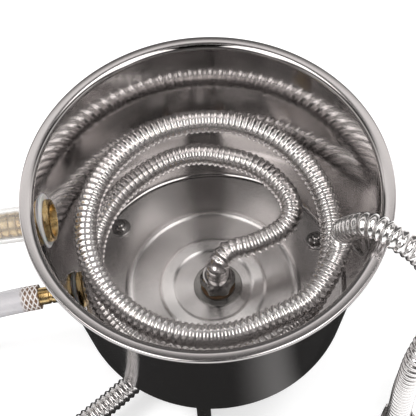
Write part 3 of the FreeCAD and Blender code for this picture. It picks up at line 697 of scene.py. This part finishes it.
# The bulkhead: a threaded steel nipple through the floor, with a dark washer and an amber seal
# above the floor, a soft seal under it, and a locknut that pulls them together.
BULKHEAD = Matrix.Translation((4.0, -0.5, 0))
NIPPLE_RADIUS = 10.4
NIPPLE_HOLE = NIPPLE_RADIUS + 0.1
SEAL_RADIUS = 13.4
washer_top = FLOOR_LEVEL + 1.5
seal_top = washer_top + 2.5
TUBE_FOOT = seal_top + 7.0
lower_seal_foot = UNDERSIDE - 2.0
LOCKNUT_FOOT = lower_seal_foot - 5.0
dark_washer_steel = bright_steel("dark_washer_steel", base=(0.30, 0.29, 0.28), rough=0.2)
amber_silicone = soft_seal("amber_silicone", (0.16, 0.09, 0.035), (0.10, 0.05, 0.02))


washer = spun_between("bulkhead_washer", NIPPLE_HOLE, 19, FLOOR_LEVEL, washer_top, 0.5)
fitted(placed(washer, BULKHEAD), dark_washer_steel, "dark_washer", "floor_washer")
seal = spun_between("bulkhead_amber_seal", NIPPLE_HOLE, SEAL_RADIUS, washer_top, seal_top, 0.9)
fitted(placed(seal, BULKHEAD), amber_silicone, "amber_silicone", "floor_seal_upper")
seal = spun_between("bulkhead_lower_seal", NIPPLE_HOLE, SEAL_RADIUS, lower_seal_foot, UNDERSIDE)
fitted(placed(seal, BULKHEAD), milky_silicone, "milky_silicone", "floor_seal_lower")
bore = [(NIPPLE_HOLE, lower_seal_foot), (NIPPLE_HOLE, LOCKNUT_FOOT)]
locknut = hexagon_nut("bulkhead_locknut", 27, LOCKNUT_FOOT, lower_seal_foot, bore, chamfer=1.3)
fitted(placed(locknut, BULKHEAD), fitting_steel, "fitting_steel", "floor_locknut")
nipple_foot = LOCKNUT_FOOT - 10
nipple_top = TUBE_FOOT - 2.0
thread = thread_line(NIPPLE_RADIUS, 0.6, 1.8, nipple_foot, nipple_top, -1)
nipple = [(7.0, nipple_foot, 0), (7.0, nipple_top, 0.3)] + [(r, z, 0) for r, z in thread]
nipple = spun("bulkhead_nipple", nipple)
fitted(placed(nipple, BULKHEAD), fitting_steel, "fitting_steel", "floor_nipple")

# The coil: one length of corrugated stainless tube, about 18 mm over its ribs. It stands on the
# bulkhead, swings out to two turns round the pot, leans over the rim and hangs down outside.
CREST_RADIUS = 9.0
VALLEY_RADIUS = 7.7
COIL_RADIUS = 89.5
COIL_LOW = 49.5
COIL_HIGH = 98.0
RIB_PITCH = 4.8
WIDER = 1.125
PLAIN_END = 3.4
UP = Vector((0, 0, 1))


def polar(radius, azimuth, height):
    """A point from its radius, its azimuth in degrees and its height."""
    turn = math.radians(azimuth)
    return Vector((radius * math.cos(turn), radius * math.sin(turn), height))


def coil_height(angle):
    """The height of the coil's middle at an angle counted along its turns, in degrees."""
    part = min(max((angle - 200) / 250, 0), 1)
    climb = (COIL_HIGH - COIL_LOW) * part * part * (3 - 2 * part)
    return FLOOR_LEVEL + COIL_LOW + climb + 4.0 * max(angle - 450, 0) / 250


def coil_route():
    """The points that the tube's middle passes, the same as in the part's source."""
    route = [Vector((4.0, -0.5, TUBE_FOOT))]
    union_top = TUBE_FOOT + 4.7 + 3.5 - FLOOR_LEVEL
    hook = [
        (0.15, 33, 0.60), (0.33, 21.4, 0.74), (0.52, 20.0, 0.79), (0.68, 21.9, 0.85),
        (0.835, 30.3, 0.94), (0.90, 43.0, 1.00), (0.935, 55.4, 1.03), (0.96, 67.5, 1.05),
        (0.975, 78.5, 1.05),
    ]
    for share, azimuth, climb in hook:
        height = FLOOR_LEVEL + union_top + climb * (COIL_LOW - union_top)
        route.append(polar(share * COIL_RADIUS, azimuth, height))
    angle = 95.0
    while angle < 661:
        settle = 3.5 * max(0, 1 - (angle - 95) / 40)
        route.append(polar(COIL_RADIUS, angle, coil_height(angle) + settle))
        angle += 22.6
    riser = [
        (-36.0, -45.0, -49.0), (-34.7, -29.7, -45.5), (-33.3, -20.8, -39.0), (-33.5, -17.3, -28.0),
        (-30.2, -18.6, -14.0), (-24.0, -20.6, -1.0), (-16.7, -21.6, 7.5),
    ]
    for inset, azimuth, rise in riser:
        route.append(polar(RIM_RADIUS + inset, azimuth, RIM_LEVEL + rise))
    over = RIM_LEVEL + CREST_RADIUS + 1.5
    for inset, azimuth, rise in ((-6.2, -22.5, 0.5), (6.0, -24.0, 0.0), (17.5, -24.4, -5.0)):
        route.append(polar(RIM_RADIUS + inset, azimuth, over + rise))
    hang_radius, hang_azimuth = 173.4, -39.4
    fall = [
        (-11.2, 13.4, 143.5), (-0.8, 10.1, 124.0), (3.1, 6.1, 103.0), (1.4, 2.1, 81.0),
        (0.9, 0.5, 58.0), (0.0, 0.1, 34.0), (0.0, 0.0, 10.0),
    ]
    for inset, aside, height in fall:
        route.append(polar(hang_radius + inset, hang_azimuth + aside, FLOOR_LEVEL + height))
    route.append(polar(hang_radius, hang_azimuth, 19.0))
    return route


def smooth_line(points, first_way, last_way, straight=18.0):
    """A curve through the points, straight at both ends, as points a millimetre apart."""
    knots = [points[0] + first_way * straight] + points[1:-1] + [points[-1] - last_way * straight]
    place = np.array(knots)
    gaps = np.linalg.norm(np.diff(place, axis=0), axis=1)
    count = len(place)
    grid = np.zeros((count, count))
    wanted = np.zeros((count, 3))
    grid[0, 0] = grid[-1, -1] = 1.0
    wanted[0], wanted[-1] = first_way, last_way
    for i in range(1, count - 1):
        before, after = gaps[i - 1], gaps[i]
        grid[i, i - 1], grid[i, i], grid[i, i + 1] = after, 2 * (before + after), before
        arriving, leaving = place[i] - place[i - 1], place[i + 1] - place[i]
        wanted[i] = 3 * (after / before * arriving + before / after * leaving)
    slope = np.linalg.solve(grid, wanted)
    begin, end = np.array(points[0]), np.array(points[-1])
    line = [begin + (place[0] - begin) * t for t in np.linspace(0, 1, int(straight), False)]
    for i in range(count - 1):
        for t in np.linspace(0, 1, max(int(gaps[i]), 2), False):
            start, finish = 2 * t**3 - 3 * t**2 + 1, 3 * t**2 - 2 * t**3
            leave, arrive = t**3 - 2 * t**2 + t, t**3 - t**2
            bend = gaps[i] * (leave * slope[i] + arrive * slope[i + 1])
            line.append(start * place[i] + finish * place[i + 1] + bend)
    line += [place[-1] + (end - place[-1]) * t for t in np.linspace(0, 1, int(straight) + 1)]
    return line


def ribbed_tube_tree():
    """A corrugated tube along a curve, with a flared lip and a smooth neck at both ends. Past the
    length called Eased the ribs stand farther apart by the factor WIDER. The attribute rib is 1
    on a crest and 0 in a valley."""
    bench, given = node_group(
        "ribbed_tube",
        {"Pitch": "Float", "Eased": "Float", "Crest": "Float", "Valley": "Float", "Neck": "Float",
         "Flare": "Float", "Lip length": "Float", "Plain length": "Float", "Rings per rib": "Int",
         "Sides": "Int", "Finish": "Material"},
    )
    length = bench.node("GeometryNodeSplineLength", {}, out="Length")
    gap = given["Pitch"] / given["Rings per rib"]
    resample = {"mode": "LENGTH"}
    curve = bench.node("GeometryNodeResampleCurve", resample, given["Geometry"], Length=gap)
    along = bench.node("GeometryNodeSplineParameter", {}, out="Length")
    from_end = along.step("MINIMUM", along, length - along)
    ribbed = from_end > given["Plain length"]
    close = along.step("MINIMUM", along, given["Eased"]) - given["Plain length"]
    wide = along.step("MAXIMUM", along - given["Eased"], 0.0)
    phase = (close + wide / WIDER) / given["Pitch"]
    wave = (0.5 - 0.5 * phase.step("COSINE", phase * (2 * math.pi))) * ribbed
    flared = from_end < given["Lip length"]
    plain = given["Neck"] + (given["Flare"] - given["Neck"]) * flared
    rib_radius = given["Valley"] + (given["Crest"] - given["Valley"]) * wave
    radius = plain + (rib_radius - plain) * ribbed
    stored = {"data_type": "FLOAT", "domain": "POINT"}
    curve = bench.node("GeometryNodeStoreNamedAttribute", stored, curve, Name="rib", Value=wave)
    round_line = "GeometryNodeCurvePrimitiveCircle"
    circle = bench.node(round_line, {"mode": "RADIUS"}, Resolution=given["Sides"], Radius=1.0)
    tube = bench.node("GeometryNodeCurveToMesh", {}, curve, circle, radius)
    tube = bench.node("GeometryNodeSetShadeSmooth", {}, tube)
    tube = bench.node("GeometryNodeRealizeInstances", {}, tube)
    tube = bench.node("GeometryNodeSetMaterial", {}, tube, Material=given["Finish"])
    bench.node("NodeGroupOutput", {}, tube)
    return bench.tree


def ribbed_steel():
    """Stainless tube with painted shade: its colour is darker in the valleys than on the crests,
    and the valleys are a little duller.
    """
    bench = new_material("ribbed_steel")
    rib = bench.node("ShaderNodeAttribute", {"attribute_name": "rib"}, out="Fac")
    # Painted shade: the colour darkens from crest to valley.
    tone = bench.mix(rib.ramp(0.0, 0.7), (0.74, 0.72, 0.715), (0.88, 0.865, 0.86))
    return finish_material(bench, Base_Color=tone, Metallic=1.0, Roughness=0.24 - rib * 0.06)


ribbed_tube = ribbed_tube_tree()
tube_steel = ribbed_steel()


def hollow_ends(piece, bore, depth, ends):
    """Turns each open end inwards: an end face, then a short bore that is closed at its bottom."""
    mesh = bmesh.new()
    mesh.from_mesh(piece.data)
    for point, inwards in ends:
        point = point * 0.001
        rim = [e for e in mesh.edges if e.is_boundary and (e.verts[0].co - point).length < 0.012]
        for move in (0.0, depth):
            grown = bmesh.ops.extrude_edge_only(mesh, edges=rim)["geom"]
            corners = [v for v in grown if isinstance(v, bmesh.types.BMVert)]
            rim = [e for e in grown if isinstance(e, bmesh.types.BMEdge)]
            middle = sum((v.co for v in corners), Vector()) / len(corners)
            for corner in corners:
                spoke = (corner.co - middle).normalized() * bore * 0.001
                corner.co = middle + spoke + inwards * move * 0.001
        bmesh.ops.holes_fill(mesh, edges=rim)
    bmesh.ops.recalc_face_normals(mesh, faces=mesh.faces)
    mesh.to_mesh(piece.data)
    mesh.free()
    piece.data.set_sharp_from_angle(angle=math.radians(60))
    return piece


def corrugated(name, points, first_way, last_way, eased_from=1.0):
    """A ribbed tube through the points; eased_from is the share of its length after which the
    ribs stand farther apart."""
    line = smooth_line(points, first_way, last_way)
    curve = bpy.data.curves.new(name + "_line", "CURVE")
    curve.dimensions = "3D"
    spline = curve.splines.new("POLY")
    spline.points.add(len(line) - 1)
    for spot, place in zip(spline.points, line):
        spot.co = (*(place * 0.001), 1.0)
    source = linked(name + "_line", curve)
    length = sum(np.linalg.norm(b - a) for a, b in zip(line, line[1:]))
    ribbed = length - 2 * PLAIN_END
    wide = round(ribbed * (1 - eased_from) / RIB_PITCH / WIDER)
    close = round(ribbed * eased_from / RIB_PITCH)
    pitch = ribbed / (close + WIDER * wide)
    piece = run_group(
        source, ribbed_tube, name, Pitch=pitch * 0.001, Eased=(PLAIN_END + close * pitch) * 0.001,
        Crest=CREST_RADIUS * 0.001, Valley=VALLEY_RADIUS * 0.001, Neck=0.0078, Flare=0.0088,
        Lip_length=0.0019, Plain_length=PLAIN_END * 0.001, Rings_per_rib=10, Sides=28,
        Finish=tube_steel
    )
    return hollow_ends(piece, 6.5, 15.0, ((points[0], first_way), (points[-1], -last_way)))


coil_points = coil_route()
coil = corrugated("coil", coil_points, UP, -UP, eased_from=0.82)
fitted(coil, None, "tube_steel", "coil_tube")

# The elbow under the floor and its spout: a cast steel elbow screwed up onto the nipple, and a
# short corrugated tube that runs out between two legs.
ELBOW_CENTRE = Vector((4.0, -0.5, 20.0))
ELBOW_RADIUS = 13.5
side_way = polar(1, 222.8, 0)
spout_way = polar(1, 217.8, 0)
SPOUT_START = ELBOW_CENTRE + side_way * 36
spout_knee = SPOUT_START + side_way * 62
SPOUT_TIP = spout_knee + spout_way * 92
spout_points = [SPOUT_START, spout_knee - side_way * 16, spout_knee + spout_way * 16, SPOUT_TIP]
spout_tube = corrugated("spout_tube", spout_points, side_way, spout_way)
fitted(spout_tube, None, "tube_steel", "outlet_tube")


def facing(point, way):
    """The matrix that puts Z along a direction, at a point."""
    return Matrix.Translation(point) @ way.to_track_quat("Z", "Y").to_matrix().to_4x4()


def elbow_piece():
    """Two round arms that meet in a ball, and the thread at the side."""
    big, bore = ELBOW_RADIUS, 7
    upright = [(0, 0, 0), (big, 0, 0), (big, 21.5, 0.8), (bore, 21.5, 0.5)]
    upright += [(bore, 12, 0), (0, 12, 0)]
    side = [(0, 0, 0), (big, 0, 0), (big, 22, 0.8), (0, 22, 0)]
    thread = [(0, 20, 0), (NIPPLE_RADIUS, 20, 0)]
    thread += [(r, z, 0) for r, z in thread_line(NIPPLE_RADIUS, 0.6, 1.8, 22, 33.5, -1)[::-1]]
    thread += [(9.8, 34, 0), (bore, 34, 0.3), (bore, 26, 0), (0, 26, 0)]
    turns = np.linspace(-1.5, 1.5, 24)
    ball = [(big * math.cos(a), big * math.sin(a), 0) for a in turns]
    ball = [(0, -big, 0)] + ball + [(0, big, 0)]
    mesh = bmesh.new()
    for corners, way in ((upright, UP), (side, side_way), (thread, side_way), (ball, UP)):
        part = placed(spun("elbow_part", corners), facing(ELBOW_CENTRE, way))
        mesh.from_mesh(part.data)
        bpy.data.objects.remove(part)
    return joined("elbow", mesh, 40)


fitted(elbow_piece(), fitting_steel, "fitting_steel", "outlet_elbow")


# The unions: a hexagon nut at each end of both tubes. Its collar bears on a clip ring in the
# tube's neck, and a flat gasket lies on the tube's end. The nuts at the free ends turn.
def union(prefix, point, way, body="pot"):
    """A nut, its clip ring and its gasket on a tube's end; way points into the tube."""
    place = facing(point, way)
    bore = [(10.1, 8.2), (9.3, 7.6), (9.3, 4.7), (10.9, 4.7), (10.9, -2.2)]
    bore += thread_line(10.5, 0.5, 1.8, -6.4, -2.2, 1) + [(10.9, -7.0)]
    nut = hexagon_nut(prefix + "_union_nut", 24, -7.0, 8.2, bore, chamfer=2.0)
    placed(nut, place @ Matrix.Rotation(math.radians(30), 4, "Z"))
    fitted(nut, fitting_steel, "fitting_steel", prefix + "_nut", body=body)
    clip = placed(spun_between(prefix + "_clip", 7.9, 10.3, 2.2, 4.0, 0.5), place)
    fitted(clip, fitting_steel, "fitting_steel", prefix + "_clip_ring")
    gasket = placed(spun_between(prefix + "_flat_gasket", 6.0, 9.2, -2.0, 0.0, 0.3), place)
    fitted(gasket, milky_silicone, "milky_silicone", prefix + "_gasket")


union("coil_outlet", coil_points[0], UP)
union("elbow", SPOUT_START, side_way)
union("spout", SPOUT_TIP, -spout_way, body="spout_nut")
union("vapour", coil_points[-1], UP, body="vapour_nut")


# The two water fittings in the wall: a brass body with a hexagon flange and a barbed tail
# outside, a thread through the wall, a soft seal on each side and a brass locknut inside.
def wall_place(azimuth, level):
    """The matrix that puts Z along the wall's outward normal, at a height over the floor."""
    radius = FLOOR_RADIUS + GAUGE + WALL_SLOPE * level
    lean = math.radians(90) + math.atan(WALL_SLOPE)
    turn = Matrix.Rotation(math.radians(azimuth), 4, "Z") @ Matrix.Rotation(lean, 4, "Y")
    return Matrix.Translation(polar(radius, azimuth, FLOOR_LEVEL + level)) @ turn


def brass():
    """Turned brass, a little dulled, with fine tool marks."""
    bench = new_material("brass")
    stain = bench.noise(bench.place(), 160.0, 5.0)
    marks = bench.noise(bench.place(), 1400.0, 2.0)
    tone = bench.mix(stain.ramp(0.25, 0.75), (0.50, 0.33, 0.13), (0.80, 0.62, 0.34))
    bump = bench.node("ShaderNodeBump", {}, Strength=0.2, Distance=0.00005, Height=marks)
    return finish_material(
        bench, Base_Color=tone, Metallic=1.0, Roughness=stain * 0.2 + 0.18, Normal=bump
    )


turned_brass = brass()


def seated(piece, level, face):
    """Brings the points on one side of a seal to the round wall: face is -1 inside, 1 outside."""
    wall = FLOOR_RADIUS + WALL_SLOPE * level + (GAUGE if face > 0 else 0.0)
    for corner in piece.data.vertices:
        depth = corner.co.z * 1000
        if depth * face < 0.6:
            aside = corner.co.y * 1000
            bulge = wall - math.sqrt(wall**2 - aside**2)
            corner.co.z = (-bulge - (GAUGE if face < 0 else 0.0)) * 0.001
    return piece


OUTER_SEAL = 2.0


def water_fitting(
    side, azimuth, level, thread, bore, mouth, mouth_depth, inner_seal_radius, outer_seal_radius,
    across, flange, neck, grooves, barb, barb_from, barb_length, barbs
):
    """All of a fitting's pieces; heights count outwards from the wall's outer face."""
    place = wall_place(azimuth, level)
    inner = -GAUGE - 2.3
    nut_face = inner - 4.0
    end_face = nut_face - 0.8
    flange_top = OUTER_SEAL + flange
    bottom = end_face + mouth_depth
    hole = thread + 0.1
    body = [(bore, bottom, 0.3), (mouth - 1.2, bottom, 1.0), (mouth, end_face, 0.4)]
    body += [(r, z, 0) for r, z in thread_line(thread, 0.5, 1.6, end_face, OUTER_SEAL, -1)[::-1]]
    body += [(neck + 1.5, OUTER_SEAL, 0), (neck + 1.5, flange_top, 0.3)]
    body += [(neck, flange_top + 0.5, 0.3)]
    for start in grooves:
        body += [(neck, start, 0.2), (neck - 0.9, start + 0.3, 0.2)]
        body += [(neck - 0.9, start + 1.5, 0.2), (neck, start + 1.8, 0.2)]
    pitch = barb_length / barbs
    for number in range(barbs):
        foot = barb_from + number * pitch
        body += [(neck, foot, 0), (barb, foot + 1.2, 0.3), (neck, foot + pitch - 0.4, 0)]
    tip = barb_from + barb_length
    body += [(neck - 0.4, tip, 0.3), (bore, tip, 0.3)]
    tail = spun(side + "_barbed_tail", body, smooth=35)
    fitted(placed(tail, place), turned_brass, "brass", side + "_barb")
    sleeve = [(neck + 1, flange_top), (neck + 1, OUTER_SEAL)]
    hexagon = hexagon_nut(side + "_flange", across, OUTER_SEAL, flange_top, sleeve, chamfer=1.2)
    fitted(placed(hexagon, place), turned_brass, "brass")
    sleeve = [(hole, inner), (hole, nut_face)]
    locknut = hexagon_nut(side + "_brass_locknut", across, nut_face, inner, sleeve, chamfer=1.0)
    fitted(placed(locknut, place), turned_brass, "brass", side + "_locknut")
    for where, face, radius, low, high, round_low, round_high in (
        ("inner", -1, inner_seal_radius, inner, -1.3, 0.9, 0),
        ("outer", 1, outer_seal_radius, 0, OUTER_SEAL, 0, 0.6),
    ):
        corners = [(hole, low, 0), (radius, low, round_low)]
        corners += [(radius, high, round_high), (hole, high, 0)]
        seal = seated(spun(side + "_" + where + "_seal", corners), level, face)
        fitted(placed(seal, place), milky_silicone, "milky_silicone", side + "_gasket_" + where)


water_fitting(
    "hot", 180.0, 118.0, thread=13.2, bore=8.0, mouth=11.8, mouth_depth=8.0,
    inner_seal_radius=19.5, outer_seal_radius=17.0, across=30.0, flange=6.0, neck=8.6, grooves=(),
    barb=9.6, barb_from=11.0, barb_length=29.0, barbs=5
)
water_fitting(
    "cold", 183.8, 20.0, thread=10.4, bore=4.5, mouth=8.4, mouth_depth=6.0,
    inner_seal_radius=14.5, outer_seal_radius=13.5, across=27.0, flange=3.0, neck=6.8,
    grooves=(12.0, 18.5), barb=7.2, barb_from=28.0, barb_length=14.0, barbs=3
)

# The water hoses: clear and braided plastic hose pushed over the barbs. Each leaves the wall
# along its fitting, sags to the ground and lies loose there, to a bare cut end.
HOT_ROUTE = [
    (-128.7, 0.0, 166.7), (-178.3, 0.0, 160.9), (-224.0, 1.0, 140.6), (-265.0, 3.0, 103.6),
    (-304.5, 5.5, 62.8), (-348.0, 8.5, 31.1), (-403.0, 14.5, 12.9), (-455.0, 25.0, 12.9),
    (-505.0, 42.5, 12.9), (-551.0, 67.5, 12.9), (-582.5, 91.0, 12.9),
]
COLD_ROUTE = [
    (-133.8, -8.9, 66.8), (-169.5, -11.3, 62.6), (-202.2, -14.5, 47.2), (-236.0, -18.5, 27.0),
    (-274.0, -23.5, 16.4), (-312.5, -29.5, 9.95), (-353.0, -34.0, 9.95), (-398.0, -34.5, 9.95),
    (-443.0, -29.0, 9.95), (-488.0, -18.0, 9.95), (-531.0, -2.0, 9.95), (-571.5, 19.0, 9.95),
    (-598.5, 37.5, 9.95), (-620.0, 56.0, 9.95),
]


def hose_line(name, points):
    """The smooth line of a hose: a NURBS spline with the route as its control points."""
    curve = bpy.data.curves.new(name, "CURVE")
    curve.dimensions = "3D"
    curve.resolution_u = 12
    spline = curve.splines.new("NURBS")
    spline.points.add(len(points) - 1)
    for spot, point in zip(spline.points, points):
        spot.co = (*(point * 0.001), 1.0)
    spline.order_u = 3
    spline.use_endpoint_u = True
    mesh = settled(name, linked(name, curve)).data
    line = [vertex.co.copy() for vertex in mesh.vertices]
    bpy.data.meshes.remove(mesh)
    return line


def hose_wall(name, line, outside, inside, barb, barb_length, sides=40):
    """A hose along a line in metres, with its bore, wider over the barb, and its cut ends. Its UV
    map holds metres along the hose and the turn round it."""
    along = [0.0]
    for a, b in zip(line, line[1:]):
        along.append(along[-1] + (b - a).length)
    ways = [(b - a).normalized() for a, b in zip(line, line[1:])]
    ways = [ways[0]] + [(a + b).normalized() for a, b in zip(ways, ways[1:])] + [ways[-1]]
    steady = Vector((0, 0, 1))
    mesh = bmesh.new()
    uv = mesh.loops.layers.uv.new("hose")
    walls = ([], [])
    for place, way, run in zip(line, ways, along):
        steady = (steady - way * steady.dot(way)).normalized()
        other = way.cross(steady)
        bore = barb + 0.1 if run < (barb_length + 1) * 0.001 else inside
        for wall, radius in zip(walls, (outside, bore)):
            ring = []
            for i in range(sides):
                turn = 2 * math.pi * i / sides
                spoke = steady * math.cos(turn) + other * math.sin(turn)
                ring.append(mesh.verts.new(place + spoke * radius * 0.001))
            wall.append(ring)

    def patch(corners, spots):
        face = mesh.faces.new(corners)
        face.smooth = True
        for loop, spot in zip(face.loops, spots):
            loop[uv].uv = spot

    last = len(line) - 1
    for i in range(sides):
        j = (i + 1) % sides
        v, w = i / sides, (i + 1) / sides
        for n in range(last):
            a, b = along[n], along[n + 1]
            spots = ((a, v), (a, w), (b, w), (b, v))
            near, far = walls[0][n], walls[0][n + 1]
            patch((near[i], near[j], far[j], far[i]), spots)
            near, far = walls[1][n], walls[1][n + 1]
            patch((far[i], far[j], near[j], near[i]), spots[::-1])
        for n, turn_over in ((0, False), (last, True)):
            corners = [walls[0][n][j], walls[0][n][i], walls[1][n][i], walls[1][n][j]]
            spots = [(along[n], w), (along[n], v), (along[n], v), (along[n], w)]
            if turn_over:
                corners, spots = corners[::-1], spots[::-1]
            patch(corners, spots)
    return joined(name, mesh, 50)


def braid(along, around, threads, lay, width):
    """Two crossing families of threads wound round the hose: 1 on a thread, 0 between."""
    families = []
    for hand in (1.0, -1.0):
        phase = (around * threads + along * (hand * threads / lay)) * (2 * math.pi)
        wave = phase.step("COSINE", phase) * 0.5 + 0.5
        families.append(wave.ramp(1.0 - width, 1.0 - width * 0.4))
    return along.step("MAXIMUM", *families)


def clear_hose():
    """Clear soft plastic: see-through in the middle, milky where its wall is seen edge on."""
    bench = new_material("clear_hose")
    edge = bench.node("ShaderNodeLayerWeight", {}, 0.5, out="Facing")
    cover = edge.ramp(0.25, 0.95) * 0.60 + 0.16
    tone = (0.82, 0.80, 0.78)
    return finish_material(bench, Base_Color=tone, Roughness=0.10, IOR=1.5, Alpha=cover)


def braided_hose():
    """Cloudy plastic with a close white braid; over the barb the threads stand apart on brown."""
    bench = new_material("braided_hose")
    along, around = bench.split(bench.node("ShaderNodeUVMap", {"uv_map": "hose"}))[:2]
    fine = braid(along, around, 30.0, 0.026, 0.35)
    coarse = braid(along, around, 8.0, 0.030, 0.30)
    on_barb = 1.0 - along.ramp(0.010, 0.015)
    pale = bench.mix(fine, (0.62, 0.59, 0.62), (0.88, 0.86, 0.88))
    brown = bench.mix(coarse, (0.24, 0.14, 0.09), (0.86, 0.81, 0.79))
    tone = bench.mix(on_barb, pale, brown)
    height = fine * (1.0 - on_barb) + coarse * on_barb
    cover = height * 0.2 + 0.78
    bump = bench.node("ShaderNodeBump", {}, Strength=0.5, Distance=0.0004, Height=height)
    return finish_material(
        bench, Base_Color=tone, Roughness=0.25, IOR=1.5, Alpha=cover, Coat_Weight=0.3,
        Coat_Roughness=0.1, Normal=bump
    )


def water_hose(side, route, outside, bore, barb, barb_length, material, slot):
    """One hose on its fitting: its outside, bore and barb are radii in millimetres."""
    line = hose_line(side + "_line", [Vector(point) for point in route])
    piece = hose_wall(side + "_water_hose", line, outside, bore, barb, barb_length)
    fitted(piece, material, slot, side + "_hose")


water_hose("hot", HOT_ROUTE, 12.7, 9.2, 9.6, 29, clear_hose(), "clear_hose")
water_hose("cold", COLD_ROUTE, 9.75, 6.4, 7.2, 14, braided_hose(), "braided_hose")
